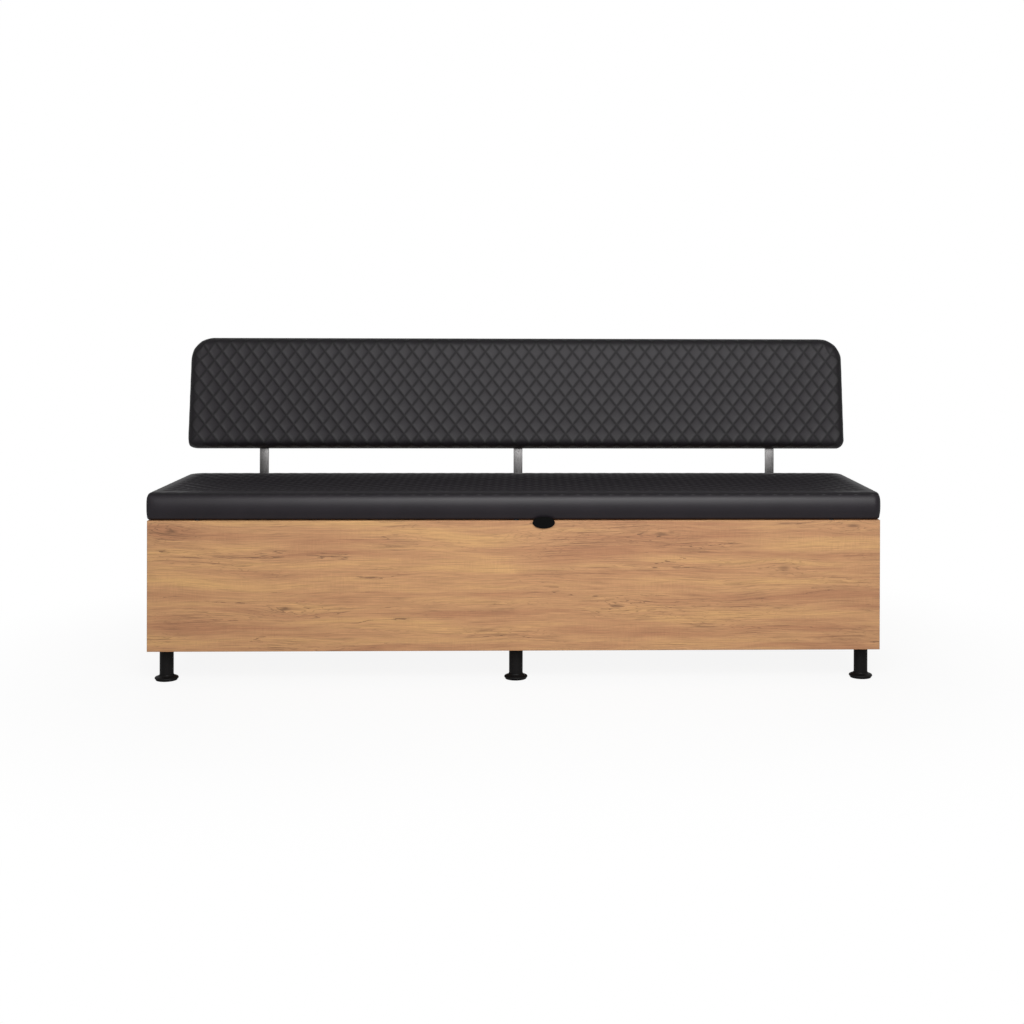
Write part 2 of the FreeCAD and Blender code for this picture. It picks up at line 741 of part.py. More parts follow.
pin = turned("pin", [
    ("0", "dim.pin_head_length"),
    ("dim.pin_head_radius", "dim.pin_head_length"),
    ("dim.pin_head_radius", "0"),
    ("dim.pin_radius", "0"),
    ("dim.pin_radius", "-dim.hinge_length"),
    ("dim.pin_head_radius", "-dim.hinge_length"),
    ("dim.pin_head_radius", "-dim.hinge_length - dim.pin_head_length"),
    ("0", "-dim.hinge_length - dim.pin_head_length"),
])
pin_spots = [spot(x + dim.hinge_length / 2, place.axis_y, place.axis_z, X) for x in hinge_x]
node(group("hinge_pins", (pin, pin_spots)))
node(group("hinge_lid_screws", (long_screw, hinge_lid_screws)))


# Quilting: a field of diamonds whose corners are sewn down and whose middles puff up

def quilt(width, height, rows):
    """A slab on the XY plane, centred in X and Y, with its quilted face towards +Z."""
    halves = [2 * int(dim.quilt_columns), 2 * int(rows)]
    step = [width / halves[0], height / halves[1]]

    def point(i, j):
        x = i * step[0] - width / 2
        y = j * step[1] - height / 2
        dome = (1 - (2 * x / width) ** 4) * (1 - (2 * y / height) ** 4)
        rim = i in (0, halves[0]) or j in (0, halves[1])
        raised = dim.quilt_puff if (i + j) % 2 and not rim else 0
        return FreeCAD.Vector(x, y, dim.quilt_crown * dome + raised + dim.quilt_rim)

    def face(*points):
        return Part.Face(Part.makePolygon(list(points) + [points[0]]))

    faces = []
    for i in range(halves[0]):
        for j in range(halves[1]):
            low, right, far, left = point(i, j), point(i + 1, j), point(i + 1, j + 1), point(i, j + 1)
            if (i + j) % 2:
                faces += [face(low, right, left), face(right, far, left)]
            else:
                faces += [face(low, right, far), face(low, far, left)]

    def lowered(points):
        return [FreeCAD.Vector(p.x, p.y, 0) for p in points]

    rims = [
        [point(i, 0) for i in range(halves[0] + 1)],
        [point(halves[0], j) for j in range(halves[1] + 1)],
        [point(i, halves[1]) for i in range(halves[0], -1, -1)],
        [point(0, j) for j in range(halves[1], -1, -1)],
    ]
    for rim in rims:
        faces.append(face(*lowered([rim[0], rim[-1]]), *reversed(rim)))
    faces.append(face(*lowered([rim[0] for rim in reversed(rims)])))
    return solid(faces)


def rounded_wire(left, right, front, rear, corners, height):
    """A level rectangle with round corners, given from front left the way that X turns to Y."""
    middles = [(left, front, 180), (right, front, 270), (right, rear, 0), (left, rear, 90)]
    ends = []
    edges = []
    for (x, y, turn), radius in zip(middles, corners):
        inward_x = radius if x == left else -radius
        inward_y = radius if y == front else -radius
        centre = FreeCAD.Vector(x + inward_x, y + inward_y, height)
        arc = [centre + FreeCAD.Rotation(Z, turn + part).multVec(X * radius) for part in (0, 45, 90)]
        edges.append(Part.Arc(*arc).toShape())
        ends.append((arc[0], arc[2]))
    for index in range(4):
        edges.insert(2 * index + 1, Part.LineSegment(ends[index][1], ends[(index + 1) % 4][0]).toShape())
    return Part.Wire(edges)


def formed(label, form):
    """A piece of a free form."""
    piece = doc.addObject("Part::Feature", label)
    piece.Shape = form
    return piece


# Seat lid

def seat_level(grow, height):
    """The seat's outline at a height, grown in front and at the ends but not behind, at the hinges."""
    half = place.end_x + grow
    rear = place.seat_rear + min(grow, 0)
    return rounded_wire(-half, half, place.front_y - grow, rear, [dim.seat_corner] * 4, height)


seat_body = Part.makeLoft([
    seat_level(0, place.lid_z),
    seat_level(dim.seat_bulge, (place.lid_z + place.seam_z) / 2),
    seat_level(dim.seat_shoulder, place.seam_z - dim.seat_edge_drop),
    seat_level(-dim.seat_turn_inset, place.seam_z - dim.seat_turn_drop),
    seat_level(-dim.seat_edge_inset, place.seam_z),
], True, True)
seat_quilt = quilt(dim.box_width - 2 * dim.seat_quilt_border, dim.seat_depth - 2 * dim.seat_quilt_border,
                   dim.seat_quilt_rows)
seat_quilt.translate(FreeCAD.Vector(0, seat_middle, place.seam_z))
seat_form = formed("seat_form", seat_body.fuse(seat_quilt))

lid_corner = ("-place.lid_width / 2", "place.front_y + dim.lid_margin")
seat_cavity = box("seat_cavity", ("place.lid_width", "place.lid_depth", "dim.lid_board + dim.seat_foam"),
                  (*lid_corner, "place.lid_z"))
lid_bores = group("lid_bores", (short_bore, lid_screws), (long_bore, hinge_lid_screws))
node(less("seat_cover", seat_form, seat_cavity, lid_bores))
node(box("seat_foam", ("place.lid_width", "place.lid_depth", "dim.seat_foam"),
         (*lid_corner, "place.foam_z")))
node(less("lid_board", box("lid_blank", ("place.lid_width", "place.lid_depth", "dim.lid_board"),
                           (*lid_corner, "place.lid_z")), lid_bores))

# The finger pull: a half disc in front of the box, on a tongue that lies in the gap under the lid
tab_front = "place.front_y - dim.tab_stand_off - dim.tab_thick"
tab_disc = cylinder("tab_disc", "dim.tab_radius", "dim.tab_thick",
                    ("dim.tab_offset", tab_front, "place.lid_z + dim.tab_radius - dim.tab_hang"), Y)
tab_trim = box("tab_trim", ("4 * dim.tab_radius", "dim.tab_thick", "2 * dim.tab_radius"),
               ("dim.tab_offset - 2 * dim.tab_radius", tab_front, "place.lid_z + dim.tab_rise"))
tab_depth = "dim.tab_tongue_length + dim.tab_stand_off + dim.tab_thick"
tab_tongue = box(
    "tab_tongue", ("dim.tab_tongue_width", tab_depth, "dim.tab_tongue_thick"),
    ("dim.tab_offset - dim.tab_tongue_width / 2", tab_front, "place.lid_z - dim.tab_tongue_thick"))
tab_blank = joined("tab_blank", less("tab_half", tab_disc, tab_trim), tab_tongue)
node(less("pull_tab", tab_blank, lid_bores))


# Gas struts: a bracket on the box's end, a cylinder, a rod and a slotted hanger on the lid

strut_angle = "90 deg - atan((place.hanger_z - place.pivot_z) / (place.pivot_y - place.hanger_y))"
eye_half = "dim.strut_eye_width / 2"
stud_bore = "dim.strut_stud_radius + dim.running_clearance"
slot_radius = "dim.strut_stud_radius + dim.strut_slot_play"
plate_size = ("dim.strut_plate_thick", "dim.strut_plate_length", "dim.strut_plate_height")


def lost_motion():
    """How far the rod's stud falls below the hanger's pivot half way, turning and sliding evenly."""
    def swung(turn):
        y = -dim.strut_reach * math.cos(turn) - dim.strut_lid_drop * math.sin(turn) + dim.strut_pivot_back
        z = dim.strut_reach * math.sin(turn) - dim.strut_lid_drop * math.cos(turn) + dim.strut_pivot_drop
        return math.hypot(y, z), math.atan2(z, y) % (2 * math.pi)
    full = math.radians(dim.lid_opening)
    (closed, low), (opened, high), (half, true) = swung(0), swung(full), swung(full / 2)
    return half * abs((low + high) / 2 - true) + abs((closed + opened) / 2 - half)


slot_drop = f"{lost_motion():.3f}"

for name, side in SIDES.items():
    strut_x = f"{side} * place.strut_x"
    inward = X * -side

    def stud(label, radius, first, last, y="0", z="0", x="0"):
        """A round bar along X, between two distances from the strut's middle towards the box's middle."""
        start = (f"{x} - {side} * ({first})", y, z)
        return cylinder(f"{name}_{label}", radius, f"({last}) - ({first})", start, inward)

    def in_strut(piece):
        """Lays a piece made along Z on the line of the closed strut."""
        piece.Placement.Rotation = FreeCAD.Rotation(X, 1)
        put(piece, strut_x, "place.pivot_y", "place.pivot_z")
        return bind(piece, Placement__Rotation__Angle=strut_angle)

    tube = turned(f"{name}_strut_tube", [
        ("0", "dim.strut_eye_radius / 2"),
        ("dim.strut_tube_radius", "dim.strut_eye_radius"),
        ("dim.strut_tube_radius", "dim.strut_tube_end"),
        ("dim.strut_rod_radius + dim.running_clearance", "dim.strut_tube_end"),
        ("dim.strut_rod_radius + dim.running_clearance", "dim.strut_tube_end - dim.strut_gland"),
        ("dim.strut_tube_radius - dim.strut_tube_wall", "dim.strut_tube_end - dim.strut_gland"),
        ("dim.strut_tube_radius - dim.strut_tube_wall", "dim.strut_eye_radius + dim.strut_end_wall"),
        ("0", "dim.strut_eye_radius + dim.strut_end_wall"),
    ])
    tube_eye = stud("tube_eye", "dim.strut_eye_radius", f"-{eye_half}", eye_half)
    cylinder_blank = joined(f"{name}_cylinder_blank", tube, tube_eye)
    eye_bore = stud("tube_eye_bore", stud_bore, "-2 * dim.strut_tube_radius", "2 * dim.strut_tube_radius")
    node(in_strut(less(f"{name}_strut_cylinder", cylinder_blank, eye_bore)))

    rod = turned(f"{name}_strut_bar", [
        ("0", "dim.strut_piston_start"),
        ("dim.strut_tube_radius - dim.strut_tube_wall - dim.running_clearance", "dim.strut_piston_start"),
        ("dim.strut_tube_radius - dim.strut_tube_wall - dim.running_clearance",
         "dim.strut_piston_start + dim.strut_piston"),
        ("dim.strut_rod_radius", "dim.strut_piston_start + dim.strut_piston"),
        ("dim.strut_rod_radius", "place.strut_length"),
        ("0", "place.strut_length"),
    ])
    rod_end = dict(z="place.strut_length")
    hanger_far = f"{eye_half} + dim.strut_hanger_gap + dim.strut_plate_thick + dim.strut_side_play"
    node(in_strut(joined(
        f"{name}_strut_rod", rod,
        stud("rod_eye", "dim.strut_eye_radius", f"-{eye_half}", eye_half, **rod_end),
        stud("rod_stud", "dim.strut_stud_radius", "0", hanger_far, **rod_end),
        stud("rod_stud_head", "dim.strut_stud_head_radius", hanger_far,
             f"{hanger_far} + dim.strut_stud_head", **rod_end))))

    pivot = dict(y="place.pivot_y", z="place.pivot_z", x=strut_x)
    wall = "dim.strut_plate_thick - dim.strut_stand_off"
    plate_x = "-place.inner_x" if side < 0 else "place.inner_x - dim.strut_plate_thick"
    eye_side = f"{eye_half} + dim.strut_side_play"
    wall_plate = box(f"{name}_wall_plate", plate_size,
                     (plate_x, "place.pivot_y - dim.strut_plate_length / 2",
                      "place.pivot_z - dim.strut_plate_height / 2"))
    wall_bracket = joined(
        f"{name}_wall_bracket_blank", wall_plate,
        stud("wall_collar", "dim.strut_stud_head_radius", wall, f"-({eye_side})", **pivot),
        stud("wall_stud", "dim.strut_stud_radius", wall, eye_side, **pivot),
        stud("wall_stud_head", "dim.strut_stud_head_radius", eye_side,
             f"{eye_side} + dim.strut_stud_head", **pivot))
    wall_bores = group(f"{name}_wall_bores", (short_bore, strut_plate_screws))
    node(less(f"{name}_strut_wall_bracket", wall_bracket, wall_bores))

    hanger_near = f"{side} * (place.strut_x - {eye_half} - dim.strut_hanger_gap)"
    hanger_start = hanger_near if side < 0 else f"{hanger_near} - dim.strut_hanger_flange"
    upright_start = hanger_near if side < 0 else f"{hanger_near} - dim.strut_plate_thick"
    hanger_back = "place.hanger_y - dim.strut_plate_length / 2"
    hanger_foot = f"place.hanger_z - dim.strut_plate_height / 2 - {slot_drop}"
    hanger = joined(
        f"{name}_hanger_blank",
        box(f"{name}_hanger_flange",
            ("dim.strut_hanger_flange", "dim.strut_plate_length", "dim.strut_plate_thick"),
            (hanger_start, hanger_back, "place.lid_z - dim.strut_plate_thick")),
        box(f"{name}_hanger_upright",
            ("dim.strut_plate_thick", "dim.strut_plate_length", f"place.lid_z - ({hanger_foot})"),
            (upright_start, hanger_back, hanger_foot)))
    through = ("dim.strut_hanger_gap", f"{eye_half} + dim.strut_hanger_gap + 2 * dim.strut_plate_thick")
    slot = joined(
        f"{name}_hanger_slot",
        stud("slot_top", slot_radius, *through, y="place.hanger_y", z="place.hanger_z", x=strut_x),
        stud("slot_foot", slot_radius, *through, y="place.hanger_y", z=f"place.hanger_z - {slot_drop}",
             x=strut_x),
        box(f"{name}_slot_middle", ("2 * dim.strut_hanger_flange", f"2 * ({slot_radius})", slot_drop),
            (f"{hanger_near} - dim.strut_hanger_flange", f"place.hanger_y - ({slot_radius})",
             f"place.hanger_z - {slot_drop}")))
    node(less(f"{name}_strut_hanger", hanger, slot, lid_bores))

node(group("lid_screws", (short_screw, lid_screws)))


# Backrest bars, bent back above the box, and the bolts through them

doc.recompute()
bar_section = [
    ("0", "-dim.bar_drop"),
    ("dim.bar_thick", "-dim.bar_drop"),
    ("dim.bar_thick", "-dim.bar_thick * tan(dim.recline / 2)"),
    ("dim.bar_thick * cos(dim.recline) + dim.bar_reach * sin(dim.recline)",
     "dim.bar_reach * cos(dim.recline) - dim.bar_thick * sin(dim.recline)"),
    ("dim.bar_reach * sin(dim.recline)", "dim.bar_reach * cos(dim.recline)"),
    ("0", "0"),
]
bar_bores = group("bar_bores", (bar_bore, bar_bolts), (back_bore, back_bolts))
for name, step in THIRDS.items():
    blank = rolled(f"{name}_bar_blank", bar_section, "dim.bar_width")
    put(blank, f"{step} * place.bar_x", "place.rear_y", "dim.bend_height")
    node(less(f"{name}_back_bar", blank, bar_bores))
node(group("bar_bolts", (bar_bolt, bar_bolts)))
node(group("bar_nuts", (bar_nut, bar_nuts)))


# Backrest, made upright in its own frame and then leant back on the bars

def back_level(inset, depth):
    """The backrest's outline, drawn in by an inset, at a depth in front of the board's back."""
    half = dim.back_width / 2 - inset
    low = dim.back_rise + inset
    high = dim.back_rise + dim.back_height - inset
    corners = [dim.back_bottom_corner - inset] * 2 + [dim.back_top_corner - inset] * 2
    wire = rounded_wire(-half, half, low, high, corners, 0)
    wire.Placement = FreeCAD.Placement(FreeCAD.Vector(0, -depth, 0), FreeCAD.Rotation(X, 90))
    return wire


def back_core(depth, thick):
    """A slab inside the cover, from one depth forwards."""
    face = Part.Face(back_level(dim.back_margin, depth))
    return face.extrude(FreeCAD.Vector(0, -thick, 0))


def lean(piece):
    """Sets a piece of the backrest on the bars."""
    piece.Placement = leaning
    return piece


back_body = Part.makeLoft([
    back_level(dim.back_rear_inset, 0),
    back_level(0, dim.back_rear_round),
    back_level(0, place.back_thick - dim.back_front_round),
    back_level(dim.back_shoulder_inset, place.back_thick - dim.back_shoulder_drop),
    back_level(dim.back_front_inset, place.back_thick),
], True, True)
back_quilt = quilt(dim.back_width - 2 * dim.back_quilt_border, dim.back_height - 2 * dim.back_quilt_border,
                   dim.back_quilt_rows)
back_quilt.Placement = FreeCAD.Placement(
    FreeCAD.Vector(0, -place.back_thick, dim.back_rise + dim.back_height / 2), FreeCAD.Rotation(X, 90))
back_form = lean(formed("back_form", back_body.fuse(back_quilt)))
back_cavity = lean(formed("back_cavity", back_core(0, place.core_thick)))
node(less("backrest_cover", back_form, back_cavity))

tee_bores = group("tee_bores", (tee_bore, tee_spots))
tee_recesses = group("tee_recesses", (tee_recess, tee_spots))
back_board = lean(formed("back_board", back_core(0, dim.back_board)))
back_foam = lean(formed("back_foam", back_core(dim.back_board, dim.back_foam)))
node(less("backrest_board", back_board, tee_bores))
node(less("backrest_foam", back_foam, tee_recesses))
node(group("backrest_tee_nuts", (tee_nut, tee_spots)))
node(group("backrest_bolts", (back_bolt, back_bolts)))


# Checks before anything is written

doc.recompute()
failed = [piece.Label for piece in doc.Objects if {"Invalid", "Error"} & set(piece.State)]
failed += [piece.Label for piece in nodes if piece.Shape.isNull() or not piece.Shape.isValid()]
failed += [piece.Label for piece in nodes if not piece.Shape.Solids]
if failed:
    raise RuntimeError(f"pieces that failed: {sorted(set(failed))}")
if len({piece.Label for piece in nodes}) != len(nodes):
    raise RuntimeError("two pieces share a name")

os.makedirs("parts", exist_ok=True)
for piece in nodes:
    piece.Shape.exportStep(f"parts/{piece.Label}.step")
print(f"{len(nodes)} sub-parts, {sum(len(piece.Shape.Solids) for piece in nodes)} solids")
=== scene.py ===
import math

import bmesh
import bpy
from mathutils import Matrix, Vector, noise


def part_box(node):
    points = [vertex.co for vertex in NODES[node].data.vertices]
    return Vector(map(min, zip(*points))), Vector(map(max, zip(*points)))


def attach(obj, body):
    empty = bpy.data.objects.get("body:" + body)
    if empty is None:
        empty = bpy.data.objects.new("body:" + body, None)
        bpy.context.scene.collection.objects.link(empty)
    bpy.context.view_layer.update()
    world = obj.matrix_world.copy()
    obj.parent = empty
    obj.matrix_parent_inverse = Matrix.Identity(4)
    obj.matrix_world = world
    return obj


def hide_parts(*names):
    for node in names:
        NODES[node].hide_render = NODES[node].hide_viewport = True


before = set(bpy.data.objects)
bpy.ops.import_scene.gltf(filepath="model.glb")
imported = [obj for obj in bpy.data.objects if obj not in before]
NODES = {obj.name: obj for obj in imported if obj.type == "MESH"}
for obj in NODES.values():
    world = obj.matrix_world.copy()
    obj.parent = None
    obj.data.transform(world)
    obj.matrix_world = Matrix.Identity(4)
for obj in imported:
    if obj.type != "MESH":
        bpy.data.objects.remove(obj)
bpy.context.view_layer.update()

bl_info = {
    "name": "Waiting Room Bench",
    "version": (1, 0, 0),
    "blender": (4, 5, 0),
    "location": "View3D > Sidebar > Bench",
    "description": "Dresses the packed waiting room bench with its looks",
    "category": "Object",
}

THIRDS = ("left", "middle", "right")
ROWS = ("front", "rear")
SIDES = ("left", "right")


def linear(code):
    """Turns an sRGB hex colour into linear RGB."""
    channels = [int(code[i:i + 2], 16) / 255 for i in (1, 3, 5)]
    return [c / 12.92 if c <= 0.04045 else ((c + 0.055) / 1.055) ** 2.4 for c in channels]


def colour(name, description, code):
    """A colour property with a hex default."""
    return bpy.props.FloatVectorProperty(
        name=name, description=description, default=linear(code), subtype="COLOR", size=3, min=0, max=1)


def length(name, description, millimetres):
    """A length property with a default in millimetres."""
    return bpy.props.FloatProperty(
        name=name, description=description, default=millimetres / 1000, unit="LENGTH")


class BenchCushions(bpy.types.PropertyGroup):
    """Sizes of the quilted seat and backrest."""
    seat_puff: length("Seat puff", "How far a diamond of the seat stands above its stitches", 1.6)
    back_puff: length("Backrest puff", "How far a diamond of the backrest stands above its stitches", 0.7)
    sink: length("Sink", "How deep a stitch line pulls in", 0.4)
    stitch: length("Stitch", "Length of one stitch with its gap", 4.5)
    seat_roll: length("Seat roll", "Radius of the seat's upper edge", 7)
    seat_crown: length("Seat crown", "Rise of the seat's middle", 2.0)
    seat_front_corner: length("Seat front corner", "Corner radius at the front, seen from above", 6)
    seat_rear_corner: length("Seat rear corner", "Corner radius at the rear, seen from above", 40)
    back_roll: length("Backrest roll", "Radius of the backrest's front edge", 21)
    back_crown: length("Backrest crown", "Rise of the backrest's middle", 2.0)
    back_lean: bpy.props.FloatProperty(
        name="Backrest lean", description="Lean of the backrest", default=math.radians(7), subtype="ANGLE")
    pressure: bpy.props.FloatProperty(
        name="Pressure", description="Air pressure that fills the covers", default=4.0)
    fill: bpy.props.FloatProperty(
        name="Fill", description="How tight the padding is", default=0.8, min=0, max=1, subtype="FACTOR")


class BenchFinishes(bpy.types.PropertyGroup):
    """Colours of the bench."""
    leather: colour("Leatherette", "Charcoal leatherette of the cushions", "#201C21")
    # Painted shade in the stitch grooves, as a darker leatherette tone
    painted_crease_shade: colour("Stitch line", "Leatherette in the stitch lines", "#070608")
    oak_light: colour("Oak light", "Golden bands of the oak decor", "#CE9F69")
    oak_middle: colour("Oak middle", "Main tone of the oak decor", "#C19064")
    oak_dark: colour("Oak dark", "Darkest bands of the oak decor", "#B07D58")
    oak_line: colour("Oak line", "Cracks and knots of the oak decor", "#6E4E36")
    steel: colour("Steel", "Brushed steel of the bars", "#8B8989")
    zinc: colour("Zinc", "Zinc plate of hinges, brackets and screws", "#B4B5B2")
    coat: colour("Powder coat", "Black powder coat of legs and feet", "#161515")
    plastic: colour("Plastic", "Black moulded plastic", "#080808")


class BenchStage(bpy.types.PropertyGroup):
    """Camera, lamps and floor."""
    lens: bpy.props.FloatProperty(name="Lens", description="Focal length", default=52.41, unit="CAMERA")
    position: bpy.props.FloatVectorProperty(
        name="Camera", description="Where the camera stands", default=(0.0330, -3.9463, 0.8952),
        subtype="TRANSLATION")
    yaw: bpy.props.FloatProperty(
        name="Yaw", description="Turn of the camera about the vertical", default=math.radians(-1.624),
        subtype="ANGLE")
    pitch: bpy.props.FloatProperty(
        name="Pitch", description="Tilt of the camera downwards", default=math.radians(0.255),
        subtype="ANGLE")
    roll: bpy.props.FloatProperty(
        name="Roll", description="Roll of the camera", default=math.radians(-0.162), subtype="ANGLE")
    shift: bpy.props.FloatVectorProperty(
        name="Shift", description="Shift of the picture in the frame", default=(-0.0589, -0.1819), size=2)


def deselect():
    """Leaves object mode with nothing selected."""
    if bpy.context.object and bpy.context.object.mode != "OBJECT":
        bpy.ops.object.mode_set(mode="OBJECT")
    bpy.ops.object.select_all(action="DESELECT")


def activate(piece):
    """Selects one piece alone."""
    deselect()
    piece.select_set(True)
    bpy.context.view_layer.objects.active = piece


def keep_place(piece):
    """Puts a piece's place into its mesh."""
    activate(piece)
    bpy.ops.object.transform_apply(location=True, rotation=True, scale=True)


def apply_modifiers(piece):
    """Applies a piece's modifiers in order."""
    activate(piece)
    for modifier in list(piece.modifiers):
        bpy.ops.object.modifier_apply(modifier=modifier.name)


def smooth(piece, degrees=35):
    """Shades a piece smooth up to an angle."""
    activate(piece)
    bpy.ops.object.shade_smooth_by_angle(angle=math.radians(degrees))


def dress(piece, name, material, body, slot, *nodes):
    """Names a finished piece, paints it, ties it to its body, and hides the CAD nodes it stands for."""
    piece.name = name
    piece.data.name = name
    piece.data.materials.clear()
    piece.data.materials.append(material)
    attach(piece, body)
    if nodes:
        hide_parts(*nodes)


def paint(material, *names):
    """Gives CAD nodes a material."""
    for name in names:
        mesh = NODES[name].data
        mesh.materials.clear()
        mesh.materials.append(material)


def add_node(tree, kind, inputs=None, stops=None, **settings):
    """Adds a shader node of a kind, with its settings, the stops of its ramp, its values and its links."""
    made = tree.nodes.new("ShaderNode" + kind)
    for key, value in settings.items():
        setattr(made, key, value)
    if stops:
        ramp = made.color_ramp
        while len(ramp.elements) < len(stops):
            ramp.elements.new(0.5)
        for element, (place, tone) in zip(ramp.elements, stops):
            element.position = place
            element.color = (*tone, 1)
    for socket, value in (inputs or {}).items():
        if isinstance(value, bpy.types.NodeSocket):
            tree.links.new(value, made.inputs[socket])
        else:
            made.inputs[socket].default_value = value
    return made


def new_material(name):
    """A material with its node tree and shader."""
    material = bpy.data.materials.new(name)
    material.use_nodes = True
    return material, material.node_tree, material.node_tree.nodes["Principled BSDF"]


def rgba(tone):
    """A colour with its alpha."""
    return (*tone, 1)


def oak_decor(name, turned):
    """Oak-decor melamine board: a printed rustic oak under a matt lacquer, with the grain along the board."""
    finish = bpy.context.scene.bench_finishes
    material, tree, shader = new_material(name)
    place = add_node(tree, "TexCoord").outputs["Object"]
    turn = (0, 0, math.radians(90)) if turned else (0, 0, 0)
    along = add_node(tree, "Mapping", {"Vector": place, "Rotation": turn}).outputs["Vector"]
    parts = add_node(tree, "SeparateXYZ", {"Vector": along})
    height = add_node(tree, "Math", {0: parts.outputs["Y"], 1: parts.outputs["Z"]}).outputs[0]
    face = add_node(tree, "CombineXYZ", {"X": parts.outputs["X"], "Y": height}).outputs[0]

    # Knots, one to a cell of about 420 by 130 mm, and only in some cells
    cells = add_node(tree, "Mapping", {"Vector": face, "Scale": (2.4, 7.7, 1)}).outputs["Vector"]
    knot = add_node(tree, "TexVoronoi", {"Vector": cells, "Scale": 1.0}, voronoi_dimensions="2D")
    picked = add_node(tree, "SeparateColor", {"Color": knot.outputs["Color"]}).outputs["Red"]
    some = add_node(tree, "Math", {0: picked, 1: 0.55}, operation="GREATER_THAN").outputs[0]
    around = add_node(tree, "MapRange", {
        "Value": knot.outputs["Distance"], "From Min": 0.02, "From Max": 0.34, "To Min": 1.0, "To Max": 0.0},
        interpolation_type="SMOOTHERSTEP").outputs[0]
    eye = add_node(tree, "Math", {0: around, 1: some}, operation="MULTIPLY").outputs[0]
    off = add_node(tree, "VectorMath", {0: cells, 1: knot.outputs["Position"]},
                   operation="SUBTRACT").outputs[0]
    rise = add_node(tree, "SeparateXYZ", {"Vector": off}).outputs["Y"]
    pull = add_node(tree, "Math", {0: rise, 1: eye}, operation="MULTIPLY").outputs[0]
    pulled = add_node(tree, "Math", {0: pull, 1: -0.07}, operation="MULTIPLY").outputs[0]

    # Slow wander of the grain: waves about 400 mm long and 7 mm high
    slow = add_node(tree, "Mapping", {"Vector": face, "Scale": (2.2, 6, 1)}).outputs["Vector"]
    wander = add_node(tree, "TexNoise", {"Vector": slow, "Scale": 1.0, "Detail": 1.0},
                      noise_dimensions="2D").outputs["Fac"]
    lift = add_node(tree, "Math", {0: wander, 1: 0.036, 2: pulled}, operation="MULTIPLY_ADD").outputs[0]
    shift = add_node(tree, "CombineXYZ", {"Y": lift}).outputs[0]
    bent = add_node(tree, "VectorMath", {0: face, 1: shift}, operation="ADD").outputs[0]

    # Bands of tone, 15 to 40 mm high and up to a metre long
    bands = add_node(tree, "Mapping", {"Vector": bent, "Scale": (1.7, 26, 1)}).outputs["Vector"]
    tone = add_node(tree, "TexNoise", {"Vector": bands, "Scale": 1.0, "Detail": 6.0, "Roughness": 0.6},
                    noise_dimensions="2D").outputs["Fac"]
    base = add_node(tree, "ValToRGB", {"Fac": tone}, stops=[
        (0.32, finish.oak_dark), (0.5, finish.oak_middle), (0.7, finish.oak_light)]).outputs["Color"]

    # Grain streaks about 3 mm high and 150 mm long
    streak = add_node(tree, "Mapping", {"Vector": bent, "Scale": (13, 430, 1)}).outputs["Vector"]
    grain = add_node(tree, "TexNoise", {"Vector": streak, "Scale": 1.0, "Detail": 6.0, "Roughness": 0.7},
                     noise_dimensions="2D").outputs["Fac"]
    streaks = add_node(tree, "MapRange", {
        "Value": grain, "From Min": 0.3, "From Max": 0.66, "To Min": 0.82, "To Max": 1.1}).outputs[0]
    grained = add_node(tree, "Mix", {"Factor": 1.0, "A": base, "B": streaks}, data_type="RGBA",
                       blend_type="MULTIPLY").outputs["Result"]

    # Patches that are sawn rougher, and flames where the dark fibres lie close
    spread = add_node(tree, "Mapping", {"Vector": bent, "Scale": (3.1, 17, 1)}).outputs["Vector"]
    patch = add_node(tree, "TexNoise", {"Vector": spread, "Scale": 1.0, "Detail": 3.0},
                     noise_dimensions="2D").outputs["Fac"]

    # Dark fibres: thin dashes 60 to 150 mm long, close in the flames and sparse elsewhere
    thin = add_node(tree, "Mapping", {"Vector": bent, "Scale": (8, 310, 1), "Location": (7, 2, 0)})
    dashes = add_node(tree, "TexNoise", {
        "Vector": thin.outputs["Vector"], "Scale": 1.0, "Detail": 4.0, "Roughness": 0.6},
        noise_dimensions="2D").outputs["Fac"]
    fibre = add_node(tree, "MapRange", {
        "Value": dashes, "From Min": 0.53, "From Max": 0.68, "To Min": 0.0, "To Max": 1.0}).outputs[0]
    close = add_node(tree, "MapRange", {
        "Value": patch, "From Min": 0.32, "From Max": 0.52, "To Min": 0.62, "To Max": 0.22}).outputs[0]
    fibres = add_node(tree, "Math", {0: fibre, 1: close}, operation="MULTIPLY").outputs[0]
    fibred = add_node(tree, "Mix", {"Factor": fibres, "A": grained, "B": rgba(finish.oak_line)},
                      data_type="RGBA").outputs["Result"]

    # Saw marks across the board every 4 to 8 mm, faint and in patches
    cut = add_node(tree, "Mapping", {"Vector": face, "Scale": (250, 30, 1)}).outputs["Vector"]
    saw = add_node(tree, "TexNoise", {"Vector": cut, "Scale": 1.0, "Detail": 1.0},
                   noise_dimensions="2D").outputs["Fac"]
    sawn = add_node(tree, "MapRange", {
        "Value": patch, "From Min": 0.45, "From Max": 0.65, "To Min": 0.0, "To Max": 0.16}).outputs[0]
    toothed = add_node(tree, "Math", {0: saw, 1: 0.5}, operation="SUBTRACT").outputs[0]
    hatch = add_node(tree, "Math", {0: toothed, 1: sawn, 2: 1.0}, operation="MULTIPLY_ADD").outputs[0]
    hatched = add_node(tree, "Mix", {"Factor": 1.0, "A": fibred, "B": hatch}, data_type="RGBA",
                       blend_type="MULTIPLY").outputs["Result"]

